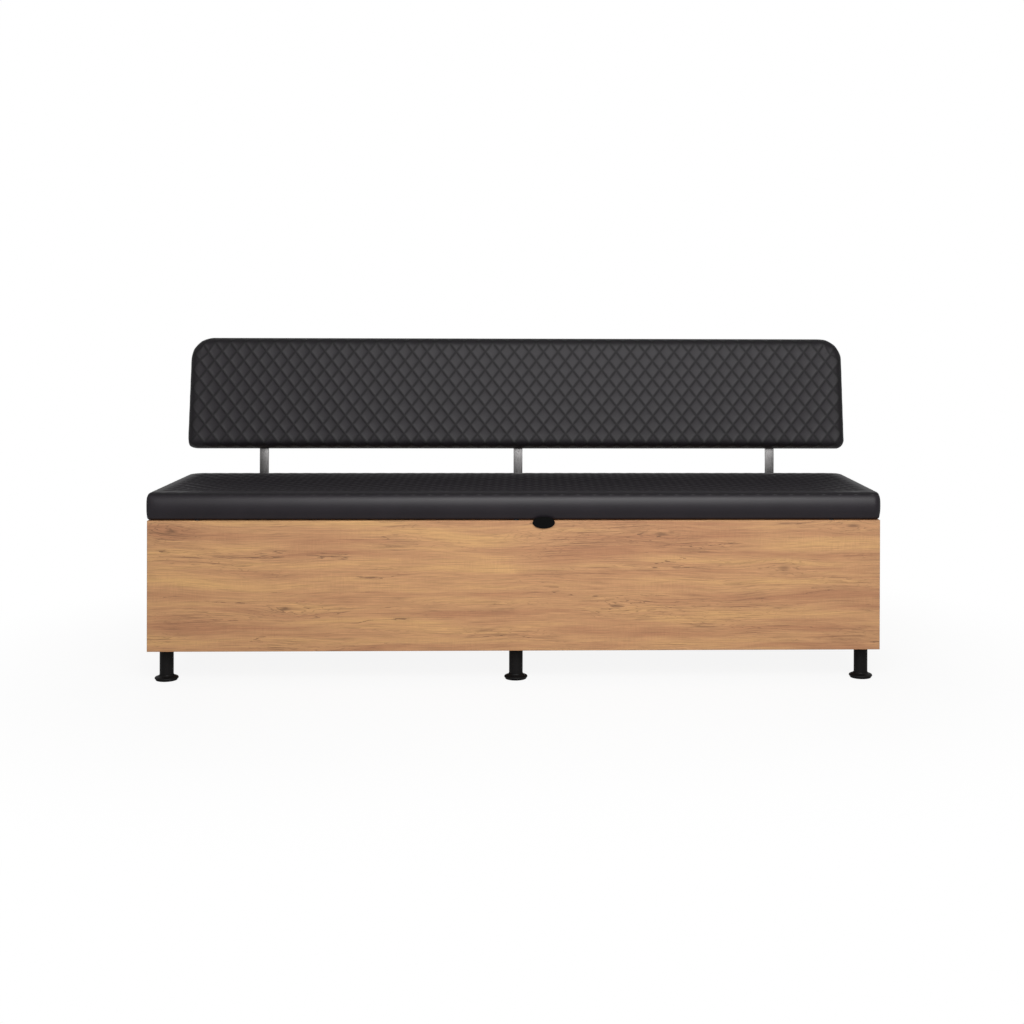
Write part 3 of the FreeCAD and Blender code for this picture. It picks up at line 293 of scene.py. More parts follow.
    # Growth lines: contours of a stretched field, a few millimetres apart, strongest in flames and at knots
    flame = add_node(tree, "Mapping", {"Vector": bent, "Scale": (2.0, 24, 1)}).outputs["Vector"]
    field = add_node(tree, "TexNoise", {"Vector": flame, "Scale": 1.0, "Detail": 5.0},
                     noise_dimensions="2D").outputs["Fac"]
    rings = add_node(tree, "Math", {0: field, 1: 24.0}, operation="MULTIPLY").outputs[0]
    fold = add_node(tree, "Math", {0: rings, 1: 0.5}, operation="PINGPONG").outputs[0]
    line = add_node(tree, "MapRange", {
        "Value": fold, "From Min": 0.0, "From Max": 0.14, "To Min": 1.0, "To Max": 0.0}).outputs[0]
    flames = add_node(tree, "MapRange", {
        "Value": patch, "From Min": 0.36, "From Max": 0.52, "To Min": 0.42, "To Max": 0.05}).outputs[0]
    strong = add_node(tree, "Math", {0: eye, 1: 0.42, 2: flames}, operation="MULTIPLY_ADD").outputs[0]
    amount = add_node(tree, "Math", {0: line, 1: strong}, operation="MULTIPLY", use_clamp=True).outputs[0]
    lined = add_node(tree, "Mix", {"Factor": amount, "A": hatched, "B": rgba(finish.oak_line)},
                     data_type="RGBA").outputs["Result"]

    # Cracks: thin dark lines 100 to 250 mm long
    split = add_node(tree, "Mapping", {"Vector": bent, "Scale": (2.0, 34, 1), "Location": (4, 9, 0)})
    level = add_node(tree, "TexNoise", {"Vector": split.outputs["Vector"], "Scale": 1.0, "Detail": 4.0},
                     noise_dimensions="2D").outputs["Fac"]
    away = add_node(tree, "Math", {0: level, 1: 0.52, 2: 0.006}, operation="COMPARE").outputs[0]
    breaks = add_node(tree, "Mapping", {"Vector": face, "Scale": (3.6, 20, 1), "Location": (1, 3, 0)})
    gap = add_node(tree, "TexNoise", {"Vector": breaks.outputs["Vector"], "Scale": 1.0, "Detail": 2.0},
                   noise_dimensions="2D").outputs["Fac"]
    kept = add_node(tree, "MapRange", {
        "Value": gap, "From Min": 0.55, "From Max": 0.62, "To Min": 0.0, "To Max": 0.7}).outputs[0]
    crack = add_node(tree, "Math", {0: away, 1: kept}, operation="MULTIPLY").outputs[0]
    heart = add_node(tree, "MapRange", {
        "Value": knot.outputs["Distance"], "From Min": 0.015, "From Max": 0.05,
        "To Min": 0.6, "To Max": 0.0}).outputs[0]
    core = add_node(tree, "Math", {0: heart, 1: some}, operation="MULTIPLY").outputs[0]
    dark = add_node(tree, "Math", {0: crack, 1: core}, operation="MAXIMUM").outputs[0]
    rustic = add_node(tree, "Mix", {"Factor": dark, "A": lined, "B": rgba(finish.oak_line)},
                      data_type="RGBA").outputs["Result"]
    tree.links.new(rustic, shader.inputs["Base Color"])
    shader.inputs["Roughness"].default_value = 0.55
    relief = add_node(tree, "Bump", {"Height": grain, "Strength": 0.12, "Distance": 0.0006})
    tree.links.new(relief.outputs["Normal"], shader.inputs["Normal"])
    return material


# Thickness of the sewing thread
THREAD = 0.0008


def leatherette(name, side):
    """Charcoal leatherette: PVC with a fine pebbled grain and a soft satin shine, sewn in diamonds
    of a given side."""
    finish = bpy.context.scene.bench_finishes
    per_side = round(side / bpy.context.scene.bench_cushions.stitch)
    material, tree, shader = new_material(name)
    place = add_node(tree, "TexCoord").outputs["Object"]

    # Diamond coordinates of the quilt: whole numbers are stitch lines, and the third number is its share
    quilt = add_node(tree, "Attribute", attribute_name="quilt").outputs["Vector"]
    parts = add_node(tree, "SeparateXYZ", {"Vector": quilt})
    first = add_node(tree, "Math", {0: parts.outputs["X"], 1: 0.5}, operation="PINGPONG").outputs[0]
    second = add_node(tree, "Math", {0: parts.outputs["Y"], 1: 0.5}, operation="PINGPONG").outputs[0]
    nearest = add_node(tree, "Math", {0: first, 1: second}, operation="MINIMUM").outputs[0]
    # Painted shade near each stitch line, darkest in the groove; the same mask also roughens it
    crease = add_node(tree, "MapRange", {
        "Value": nearest, "From Min": 0.015, "From Max": 0.12, "To Min": 1.0, "To Max": 0.0},
        interpolation_type="SMOOTHSTEP").outputs[0]
    crease_shade_mask = add_node(tree, "Math", {0: crease, 1: parts.outputs["Z"]}, operation="MULTIPLY").outputs[0]

    # Tone drifts a little over about 60 mm
    drift = add_node(tree, "TexNoise", {"Vector": place, "Scale": 1000 / 62.5, "Detail": 3.0}).outputs["Fac"]
    level = add_node(tree, "MapRange", {
        "Value": drift, "From Min": 0.3, "From Max": 0.7, "To Min": 0.9, "To Max": 1.1}).outputs[0]
    toned = add_node(tree, "Mix", {"Factor": 1.0, "A": rgba(finish.leather), "B": level},
                     data_type="RGBA", blend_type="MULTIPLY").outputs["Result"]
    sewn = add_node(tree, "Mix", {"Factor": crease_shade_mask, "A": toned, "B": rgba(finish.painted_crease_shade)},
                    data_type="RGBA").outputs["Result"]

    # Thread: whole stitches along each side of a diamond
    along = add_node(tree, "Math", {0: first, 1: second}, operation="LESS_THAN").outputs[0]
    way = add_node(tree, "Mix", {"Factor": along, "A": parts.outputs["X"], "B": parts.outputs["Y"]})
    steps = add_node(tree, "Math", {0: way.outputs["Result"], 1: per_side}, operation="MULTIPLY").outputs[0]
    gap = add_node(tree, "Math", {0: steps, 1: 0.5}, operation="PINGPONG").outputs[0]
    dash = add_node(tree, "Math", {0: gap, 1: 0.13}, operation="GREATER_THAN").outputs[0]
    line = add_node(tree, "Math", {0: nearest, 1: THREAD / 2 / side}, operation="LESS_THAN").outputs[0]
    seen = add_node(tree, "Math", {0: parts.outputs["Z"], 1: 0.6}, operation="GREATER_THAN").outputs[0]
    laid = add_node(tree, "Math", {0: dash, 1: line}, operation="MULTIPLY").outputs[0]
    thread = add_node(tree, "Math", {0: laid, 1: seen}, operation="MULTIPLY").outputs[0]
    stitched = add_node(tree, "Mix", {"Factor": thread, "A": sewn, "B": rgba(finish.leather)},
                        data_type="RGBA").outputs["Result"]

    # Painted shade: the rolled edge and the plain side are darkened, down to half the tone
    tight = add_node(tree, "Attribute", attribute_name="edge").outputs["Fac"]
    edge = add_node(tree, "MapRange", {
        "Value": tight, "To Min": 0.5, "To Max": 1.0}).outputs[0]
    drawn = add_node(tree, "Mix", {"Factor": 1.0, "A": stitched, "B": edge}, data_type="RGBA",
                     blend_type="MULTIPLY").outputs["Result"]
    tree.links.new(drawn, shader.inputs["Base Color"])

    # Pebble grain of 1.4 mm cells, a little coarser than the real one so that it shows
    pebble = add_node(tree, "TexVoronoi", {"Vector": place, "Scale": 1000 / 1.4},
                      feature="SMOOTH_F1").outputs["Distance"]
    relief = add_node(tree, "Bump", {"Height": pebble, "Strength": 0.18, "Distance": 0.0004}, invert=True)
    tree.links.new(relief.outputs["Normal"], shader.inputs["Normal"])
    dull = add_node(tree, "MapRange", {
        "Value": parts.outputs["Z"], "To Min": 0.39, "To Max": 0.5}).outputs[0]
    rough = add_node(tree, "Math", {0: crease_shade_mask, 1: 0.13, 2: dull}, operation="MULTIPLY_ADD").outputs[0]
    tree.links.new(rough, shader.inputs["Roughness"])
    shader.inputs["Specular IOR Level"].default_value = 0.3
    return material


def plain_finish(name, tone, roughness, metallic=0.0, grain=0.0008, relief=0.1, drift=0.06, stretch=(1, 1, 1),
                 shine=0.5):
    """A rigid finish: one tone that drifts a little, and a fine relief with its grain size in metres."""
    material, tree, shader = new_material(name)
    place = add_node(tree, "TexCoord").outputs["Object"]
    along = add_node(tree, "Mapping", {"Vector": place, "Scale": stretch}).outputs["Vector"]
    fine = add_node(tree, "TexNoise", {"Vector": along, "Scale": 1 / grain, "Detail": 2.0}).outputs["Fac"]
    broad = add_node(tree, "TexNoise", {"Vector": along, "Scale": 30.0, "Detail": 3.0}).outputs["Fac"]
    level = add_node(tree, "MapRange", {
        "Value": broad, "From Min": 0.3, "From Max": 0.7,
        "To Min": 1 - drift, "To Max": 1 + drift}).outputs[0]
    toned = add_node(tree, "Mix", {"Factor": 1.0, "A": rgba(tone), "B": level}, data_type="RGBA",
                     blend_type="MULTIPLY").outputs["Result"]
    tree.links.new(toned, shader.inputs["Base Color"])
    dull = add_node(tree, "MapRange", {
        "Value": fine, "From Min": 0.3, "From Max": 0.7,
        "To Min": roughness - 0.06, "To Max": roughness + 0.06})
    tree.links.new(dull.outputs[0], shader.inputs["Roughness"])
    shader.inputs["Metallic"].default_value = metallic
    shader.inputs["Specular IOR Level"].default_value = shine
    bump = add_node(tree, "Bump", {"Height": fine, "Strength": relief, "Distance": grain / 2})
    tree.links.new(bump.outputs["Normal"], shader.inputs["Normal"])
    return material


def black_powder_coat():
    """Black powder coat on steel tube: fine orange peel of about 1 mm under a satin film."""
    return plain_finish("black_powder_coat", bpy.context.scene.bench_finishes.coat, 0.42, grain=0.0012,
                        relief=0.15, shine=0.12)


def brushed_steel():
    """Brushed steel bar: fine lines of about 0.8 mm, drawn coarser than real, that run up the bar."""
    return plain_finish("brushed_steel", bpy.context.scene.bench_finishes.steel, 0.3, metallic=1.0,
                        grain=0.0008, relief=0.12, drift=0.08, stretch=(1, 1, 0.02))


def zinc_plate():
    """Bright zinc plate on pressed steel: pale grey metal with a slightly cloudy surface."""
    return plain_finish("zinc_plate", bpy.context.scene.bench_finishes.zinc, 0.34, metallic=1.0, grain=0.002,
                        relief=0.06, drift=0.1)


def moulded_plastic():
    """Black moulded plastic: fine spark-eroded texture of about 0.6 mm, satin."""
    return plain_finish("moulded_plastic", bpy.context.scene.bench_finishes.plastic, 0.5, grain=0.0006,
                        relief=0.1, shine=0.05)


def bumper_rubber():
    """Moulded rubber: deep grey, matt."""
    return plain_finish("bumper_rubber", linear("#1C1C1D"), 0.75, grain=0.001, relief=0.1)


def chromed_rod():
    """Hard-chromed rod: ground and polished bright."""
    return plain_finish("chromed_rod", linear("#C9CACB"), 0.16, metallic=1.0, grain=0.001, relief=0.02)


def birch_plywood():
    """Birch plywood: pale sanded veneer with long quiet grain."""
    return plain_finish("birch_plywood", linear("#C9AC80"), 0.6, grain=0.003, relief=0.1, drift=0.12,
                        stretch=(0.06, 1, 1))


def spunbond_cloth():
    """Black spunbond cloth over the back of the backrest: matt pressed fibres with a 2 mm dimple."""
    return plain_finish("spunbond_cloth", linear("#1D1D1E"), 0.85, grain=0.002, relief=0.35)


# Spacing of mesh lines across one diamond, closer beside the stitches
MESH_LINES = (0.0, 0.12, 0.5, 0.88, 1.0)
LAST = len(MESH_LINES) - 1

# Width of the strip in which the quilting starts
FADE = 0.02

# How domed a puff is (1 is a hill, near 0 a flat top), how much puffs differ, how sharp a stitch line is
DOME, UNEVEN, SHARPNESS = 0.4, 0.12, 0.75


def outline_point(u, v, low, high, radii):
    """A point of the unit square's border, moved to a rectangle whose corners are rounded by one radius
    at its low side and another at its high side."""
    half = (high - low) / 2
    middle = (high + low) / 2
    radius = radii[0] if v < 0 else radii[1]
    x, y = abs(u) * half.x, abs(v) * half.y
    inner_x, inner_y = half.x - radius, half.y - radius
    if radius > 1e-6 and x > inner_x and y > inner_y:
        if abs(v) >= abs(u):
            angle = (x - inner_x) / radius * math.pi / 4
        else:
            angle = math.pi / 2 - (y - inner_y) / radius * math.pi / 4
        x, y = inner_x + radius * math.sin(angle), inner_y + radius * math.cos(angle)
    return Vector((middle.x + math.copysign(x, u), middle.y + math.copysign(y, v)))


def quilted_pad(name, columns, rows, low, high, top, roll, radii, crown, puff, start, painted_border_shade, rings,
                high_limit):
    """Builds a quilted pad on a rectangle, its face up: a sheet of diamonds meshed along its stitch lines,
    bent over a rolled edge, then plain rings of (side outset, end outset, height) down its side and into
    the hollow for its board. The quilting starts at a distance inward from the roll. The rolled edge gets
    painted shade, and the plain side's painted shade is 1 for none and 0 for half the tone. The high side
    grows by no more than high_limit. Returns the object and the vertices that the stitching holds."""
    sizes = bpy.context.scene.bench_cushions
    arc = roll * math.pi / 2
    half = (high - low) / 2 + Vector((arc - roll, arc - roll))
    wide, tall = 2 * half.x / columns, 2 * half.y / rows
    mesh = bmesh.new()
    quilt = mesh.verts.layers.float_vector.new("quilt")
    sewn = mesh.verts.layers.int.new("sewn")
    # Share of full tone that the painted shade leaves, on the rolled edge and the plain side
    painted_edge_shade = mesh.verts.layers.float.new("edge")
    lattice = {}

    def vertex(i, j):
        """The vertex at a lattice place, or none outside the sheet."""
        if (i, j) not in lattice:
            a = i // LAST + MESH_LINES[i % LAST]
            b = j // LAST + MESH_LINES[j % LAST]
            p, q = (a + b) / 2, (a - b) / 2
            inside = -1e-6 < p < columns + 1e-6 and -1e-6 < q < rows + 1e-6
            lattice[i, j] = None
            if inside:
                made = mesh.verts.new((p * wide - half.x, q * tall - half.y, 0))
                made[quilt] = (a, b, 1)
                made[sewn] = i % LAST == 0 or j % LAST == 0
                lattice[i, j] = made
        return lattice[i, j]

    across = math.ceil(columns + rows)
    for i in range(across * LAST):
        for j in range(-math.ceil(rows) * LAST, math.ceil(columns) * LAST):
            corners = [vertex(i, j), vertex(i + 1, j), vertex(i + 1, j + 1), vertex(i, j + 1)]
            corners = [corner for corner in corners if corner]
            if len(corners) > 2:
                mesh.faces.new(corners)
    for vert in [vert for vert in mesh.verts if not vert.link_faces]:
        mesh.verts.remove(vert)

    # The flat sheet bent over its rolled edge
    flat = {vert: vert.co.copy() for vert in mesh.verts}
    edge = []
    for vert, at in flat.items():
        inward = min(half.x - abs(at.x), half.y - abs(at.y))
        turn = max(arc - inward, 0) / roll
        outset = -roll + roll * math.sin(turn) if turn else -roll - (inward - arc)
        ring_low, ring_high = low - Vector((outset, outset)), high + Vector((outset, min(outset, high_limit)))
        u = at.x / max(half.x - inward, 1e-9)
        v = at.y / max(half.y - inward, 1e-9)
        place = outline_point(u, v, ring_low, ring_high, [max(radius + outset, 0) for radius in radii])
        bulge = crown * (1 - (at.x / half.x) ** 4) * (1 - (at.y / half.y) ** 2)
        vert.co = (place.x, place.y, top - roll * (1 - math.cos(turn)) + bulge)
        vert[quilt].z = min(max((inward - arc - start) / FADE, 0), 1)
        # Painted shade: darker across the rolled edge, from full tone on the face to half the tone partway
        # down the roll
        vert[painted_edge_shade] = min(max((inward - arc) / (roll * 1.1) + 0.5, 0), 1)
        if inward < 1e-6:
            edge.append((math.atan2(at.y / half.y, at.x / half.x), vert))
    edge = [vert for _, vert in sorted(edge, key=lambda pair: pair[0])]

    # Puffs between the stitches, a little different from diamond to diamond
    mesh.normal_update()
    held = set()
    for vert in mesh.verts:
        a, b, fade = vert[quilt]
        fa, fb = a % 1, b % 1
        dome = max(16 * fa * (1 - fa) * fb * (1 - fb), 0) ** DOME
        own = 1 + UNEVEN * noise.noise((math.floor(a) * 1.7, math.floor(b) * 1.7, 3.1))
        vert.co += vert.normal * fade * (puff * own * dome - sizes.sink * (1 - dome))
        if dome < 1e-6 or fade < 0.9:
            held.add(vert)

    # Plain side, underside and hollow
    loop = edge
    border = [(flat[vert].x / half.x, flat[vert].y / half.y) for vert in edge]
    for outset, ends, height in rings:
        grow_low, grow_high = low - Vector((ends, outset)), high + Vector((ends, min(outset, high_limit)))
        corners = [max(radius + outset, 0.0004) for radius in radii]
        following = []
        for u, v in border:
            place = outline_point(u, v, grow_low, grow_high, corners)
            made = mesh.verts.new((place.x, place.y, height))
            # Painted shade of the plain side
            made[painted_edge_shade] = painted_border_shade
            following.append(made)
        held.update(following)
        for k, vert in enumerate(loop):
            after = (k + 1) % len(loop)
            mesh.faces.new((vert, following[k], following[after], loop[after]))
        loop = following
    bmesh.ops.recalc_face_normals(mesh, faces=mesh.faces)
    crease = mesh.edges.layers.float.new("crease_edge")
    for seam in mesh.edges:
        one, two = seam.verts
        if one[sewn] and two[sewn]:
            seam[crease] = SHARPNESS * min(one[quilt].z, two[quilt].z)
    mesh.verts.index_update()
    held_indices = [vert.index for vert in held]
    data = bpy.data.meshes.new(name)
    mesh.to_mesh(data)
    mesh.free()
    piece = bpy.data.objects.new(name, data)
    bpy.context.scene.collection.objects.link(piece)
    return piece, held_indices


# Frames of the cloth simulation
AIR_FRAMES = 12


def fill_with_air(piece, held, cap):
    """Fills a cover by cloth simulation, with its stitches held, and caps how far a point may go."""
    sizes = bpy.context.scene.bench_cushions
    start = [vert.co.copy() for vert in piece.data.vertices]
    group = piece.vertex_groups.new(name="held")
    group.add(held, 1.0, "REPLACE")
    activate(piece)
    cloth = piece.modifiers.new("Cloth", "CLOTH")
    cloth.settings.quality = 3
    cloth.settings.mass = 0.15
    cloth.settings.tension_stiffness = 12
    cloth.settings.compression_stiffness = 12
    cloth.settings.shear_stiffness = 6
    cloth.settings.bending_stiffness = 0.2
    cloth.settings.shrink_min = -0.02
    cloth.settings.use_pressure = True
    cloth.settings.uniform_pressure_force = sizes.pressure
    cloth.settings.effector_weights.gravity = 0
    cloth.settings.vertex_group_mass = group.name
    cloth.point_cache.frame_start = 1
    cloth.point_cache.frame_end = AIR_FRAMES
    for step in range(1, AIR_FRAMES + 1):
        bpy.context.scene.frame_set(step)
    bpy.ops.object.modifier_apply(modifier=cloth.name)
    for vert, first in zip(piece.data.vertices, start):
        move = vert.co - first
        if move.length > cap:
            vert.co = first + move * (cap / move.length)
    bpy.context.scene.frame_set(1)
    piece.vertex_groups.clear()


def close_pad(piece):
    """Rounds a pad by one subdivision that keeps its stitch lines, and closes the hollow for its board."""
    activate(piece)
    rounding = piece.modifiers.new("Rounding", "SUBSURF")
    rounding.levels = 1
    rounding.render_levels = 1
    bpy.ops.object.modifier_apply(modifier=rounding.name)
    bpy.ops.object.mode_set(mode="EDIT")
    bpy.ops.mesh.select_all(action="DESELECT")
    bpy.ops.mesh.select_mode(type="EDGE")
    bpy.ops.mesh.select_non_manifold(extend=False, use_wire=False, use_multi_face=False,
                                     use_non_contiguous=False, use_verts=False)
    bpy.ops.mesh.edge_face_add()
    bpy.ops.object.mode_set(mode="OBJECT")


def turned(profile, centre, segments):
    """Turns a closed piece about an upright axis: a filled circle, extruded and scaled from ring to ring."""
    deselect()
    radius, height = profile[0]
    bpy.ops.mesh.primitive_circle_add(vertices=segments, radius=radius, fill_type="NGON",
                                      location=(centre[0], centre[1], height))
    piece = bpy.context.object
    bpy.ops.object.mode_set(mode="EDIT")
    for (before, low), (after, high) in zip(profile, profile[1:]):
        bpy.ops.mesh.extrude_region_move(TRANSFORM_OT_translate={"value": (0, 0, high - low)})
        bpy.ops.transform.resize(value=(after / before, after / before, 1),
                                 center_override=(centre[0], centre[1], high))
    bpy.ops.mesh.select_all(action="SELECT")
    bpy.ops.mesh.normals_make_consistent(inside=False)
    bpy.ops.object.mode_set(mode="OBJECT")
    keep_place(piece)
    return piece


class BENCH_OT_box(bpy.types.Operator):
    """Paints the oak boards of the box"""
    bl_idname = "bench.box"
    bl_label = "Oak box"

    def execute(self, context):
        paint(oak_decor("oak_decor_long", False), "front_panel", "rear_panel", "base_panel", "rear_top_rail")
        paint(oak_decor("oak_decor_end", True), "left_side_panel", "right_side_panel")
        return {"FINISHED"}


# Radius and height of a foot from the socket for its pad, round the flange and up to the end of its thread
FOOT_PROFILE = [
    (0.0054, 0.0074), (0.0054, 0.003), (0.0262, 0.003), (0.0278, 0.0032), (0.0287, 0.0040),
    (0.029, 0.0052), (0.0288, 0.0065), (0.0280, 0.0075), (0.0263, 0.0083), (0.0238, 0.0090),
    (0.0214, 0.0099), (0.0195, 0.0112), (0.0182, 0.0126), (0.0176, 0.0140), (0.005, 0.0140),
    (0.005, 0.0530), (0.0042, 0.0540)]


class BENCH_OT_legs(bpy.types.Operator):
    """Turns the flanged feet and paints legs, feet and glide pads"""
    bl_idname = "bench.legs"
    bl_label = "Legs and feet"

    def execute(self, context):
        coat = black_powder_coat()
        pad = moulded_plastic()
        for row in ROWS:
            for third in THIRDS:
                leg = f"{row}_{third}"
                low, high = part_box(f"{leg}_foot")
                centre = (low + high) / 2
                foot = turned(FOOT_PROFILE, centre, 64)
                smooth(foot, 40)
                dress(foot, f"{leg}_flared_foot", coat, f"{leg}_level", "black_steel", f"{leg}_foot")
                paint(coat, f"{leg}_leg_post")
                paint(pad, f"{leg}_glide_pad")
        return {"FINISHED"}


# Seat: corners seen from above, height of its top, diamonds along and across with the side of one,
# where the quilting starts, and how far the simulation may move a point
SEAT_LOW, SEAT_HIGH = Vector((-0.9005, -0.2815)), Vector((0.9005, 0.195))
SEAT_TOP = 0.4690
SEAT_DIAMONDS = (44.5, 9.5)
SEAT_DIAMOND_SIDE = 0.0326
SEAT_QUILT_START = 0.010
SEAT_CAP = 0.0008

# Border of the seat: outset at the front, outset at the ends, drop below the rolled edge. It swells at the
# front, where it catches the light, and stays straighter at the ends
SEAT_BORDER = [
    (0.0006, 0.0004, 0.0008), (0.0022, 0.0016, 0.003), (0.0042, 0.0027, 0.007), (0.0056, 0.0033, 0.011),
    (0.0067, 0.0036, 0.0155), (0.0075, 0.0037, 0.0205), (0.0079, 0.0037, 0.026), (0.0078, 0.0037, 0.032),
    (0.0070, 0.0036, 0.038), (0.0054, 0.0033, 0.0435), (0.0032, 0.0026, 0.0485)]

# Room between a board and the hollow of its cushion
BOARD_ROOM = 0.0003


class BENCH_OT_seat(bpy.types.Operator):
    """Makes the quilted seat cushion and paints the lid board"""
    bl_idname = "bench.seat"
    bl_label = "Seat cushion"

    def execute(self, context):
        sizes = context.scene.bench_cushions
        board_low, board_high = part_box("lid_board")
        foot = board_low.z
        roof = board_high.z + 0.0004
        rim = board_low.y - SEAT_LOW.y - BOARD_ROOM
        end_rim = board_low.x - SEAT_LOW.x - BOARD_ROOM
        seam = SEAT_TOP - sizes.seat_roll
        rings = [(side, end, seam - drop) for side, end, drop in SEAT_BORDER]
        rings += [(0.0012, 0.0016, foot + 0.004), (-0.0012, 0.0002, foot + 0.0014), (-0.0036, -0.0014, foot),
                  (-rim, -end_rim, foot), (-rim, -end_rim, roof)]
        corners = (sizes.seat_front_corner, sizes.seat_rear_corner)
        # The seat's rolled edge gets painted shade, its plain side none
        cushion, held = quilted_pad("seat_cushion", *SEAT_DIAMONDS, SEAT_LOW, SEAT_HIGH, SEAT_TOP,
                                    sizes.seat_roll, corners, sizes.seat_crown, sizes.seat_puff,
                                    SEAT_QUILT_START, 1, rings, 0.0)
        fill_with_air(cushion, held, SEAT_CAP)
        close_pad(cushion)
        smooth(cushion, 60)
        dress(cushion, "seat_cushion", leatherette("seat_leatherette", SEAT_DIAMOND_SIDE), "lid",
              "leatherette", "seat_cover", "seat_foam")
        paint(birch_plywood(), "lid_board")
        return {"FINISHED"}


# Backrest, lying on its back: corners, thickness, height of the hollow for its board, corner radii below and
# above, diamonds along and up with the side of one, where the quilting starts, how far the simulation may
# move a point, and how much narrower it is at the top
BACK_LOW, BACK_HIGH = Vector((-0.918, 0.0148)), Vector((0.918, 0.323))
BACK_THICK = 0.0525
BACK_HOLLOW = 0.0154
BACK_CORNERS = (0.020, 0.060)
BACK_DIAMONDS = (45.5, 6.5)
BACK_DIAMOND_SIDE = 0.0319
BACK_QUILT_START = -0.026
BACK_CAP = 0.0007
BACK_TAPER = 0.0038

# Rear of the box, where the bars stand, and the height at which they bend
BAR_PLANE, BEND_HEIGHT = 0.260, 0.515


class BENCH_OT_backrest(bpy.types.Operator):
    """Makes the quilted backrest cushion and paints its board"""
    bl_idname = "bench.backrest"
    bl_label = "Backrest cushion"

    def execute(self, context):
        sizes = context.scene.bench_cushions
        seam = BACK_THICK - sizes.back_roll
        side = [(0.0008, seam - 0.004), (0.001, seam - 0.009), (0.0008, seam - 0.014),
                (0.0, 0.0125), (-0.001, 0.0085), (-0.0026, 0.005), (-0.0045, 0.0022),
                (-0.007, 0.0006), (-0.0095, 0.0), (-0.0138, 0.0), (-0.0138, BACK_HOLLOW)]
        rings = [(outset, outset, height) for outset, height in side]
        # The backrest's rolled edge and plain side get painted shade, the side at half the tone
        cushion, held = quilted_pad("backrest_cushion", *BACK_DIAMONDS, BACK_LOW, BACK_HIGH, BACK_THICK,
                                    sizes.back_roll, BACK_CORNERS, sizes.back_crown, sizes.back_puff,
                                    BACK_QUILT_START, 0, rings, 1.0)
        fill_with_air(cushion, held, BACK_CAP)
        close_pad(cushion)
        for vert in cushion.data.vertices:
            vert.co.x *= 1 - BACK_TAPER * (vert.co.y - BACK_LOW.y) / (BACK_HIGH.y - BACK_LOW.y)
        # The face is turned to the front, and the pad leans back with the bars
        face = Matrix(((1, 0, 0, 0), (0, 0, -1, 0), (0, 1, 0, 0), (0, 0, 0, 1)))
        lean = Matrix.Translation((0, BAR_PLANE, BEND_HEIGHT)) @ Matrix.Rotation(-sizes.back_lean, 4, "X")
        cushion.data.transform(lean @ face)
        smooth(cushion, 60)
        dress(cushion, "backrest_cushion", leatherette("backrest_leatherette", BACK_DIAMOND_SIDE), "bench",
              "leatherette", "backrest_cover", "backrest_foam")
        paint(spunbond_cloth(), "backrest_board")
        return {"FINISHED"}


# Thickness of a bar, half the height of its bend and the number of steps in it
BAR_THICK = 0.005
BEND_HALF = 0.03
BEND_STEPS = 8


class BENCH_OT_bars(bpy.types.Operator):
    """Bends the three flat bars and rounds their edges"""
    bl_idname = "bench.bars"
    bl_label = "Backrest bars"

    def execute(self, context):
        lean = context.scene.bench_cushions.back_lean
        steel = brushed_steel()
        for third in THIRDS:
            low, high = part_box(f"{third}_back_bar")
            bend_low = BEND_HEIGHT - BEND_HALF
            deselect()
            bpy.ops.mesh.primitive_cube_add(
                size=1, location=((low.x + high.x) / 2, low.y + BAR_THICK / 2, (low.z + bend_low) / 2))
            bar = context.object
            bar.scale = (high.x - low.x, BAR_THICK, bend_low - low.z)
            keep_place(bar)
            bpy.ops.object.mode_set(mode="EDIT")
            bpy.ops.mesh.select_all(action="DESELECT")
            bpy.ops.object.mode_set(mode="OBJECT")
            for face in bar.data.polygons:
                face.select = face.normal.z > 0.9
            bpy.ops.object.mode_set(mode="EDIT")
            levels = [bend_low + 2 * BEND_HALF * step / BEND_STEPS for step in range(BEND_STEPS + 1)]
            levels.append(high.z)
            for k, (below, above) in enumerate(zip(levels, levels[1:])):
                slope = math.tan(lean * min((k + 0.5) / BEND_STEPS, 1))
                bpy.ops.mesh.extrude_region_move(
                    TRANSFORM_OT_translate={"value": (0, (above - below) * slope, above - below)})
            bpy.ops.object.mode_set(mode="OBJECT")
            rounding = bar.modifiers.new("Edges", "BEVEL")
            rounding.width = 0.0008
            rounding.segments = 3
            rounding.limit_method = "ANGLE"
            rounding.angle_limit = math.radians(40)
            apply_modifiers(bar)
            smooth(bar, 30)
            dress(bar, f"{third}_bent_bar", steel, "bench", "satin_steel", f"{third}_back_bar")
        return {"FINISHED"}


# Finger pull: thickness of its rim and of the whole, and the steps of its domed face as (inset, rise)
PULL_RIM, PULL_THICK = 0.0011, 0.0024
PULL_DOME = ((0.0008, 0.0005), (0.0014, 0.0004), (0.0024, 0.00025), (0.0034, 0.0001))

# Tongue that holds the pull under the lid: width, thickness, height of its middle, and its lap into the pull
TONGUE_WIDTH, TONGUE_THICK, TONGUE_HEIGHT, TONGUE_LAP = 0.040, 0.0016, 0.4012, 0.0004


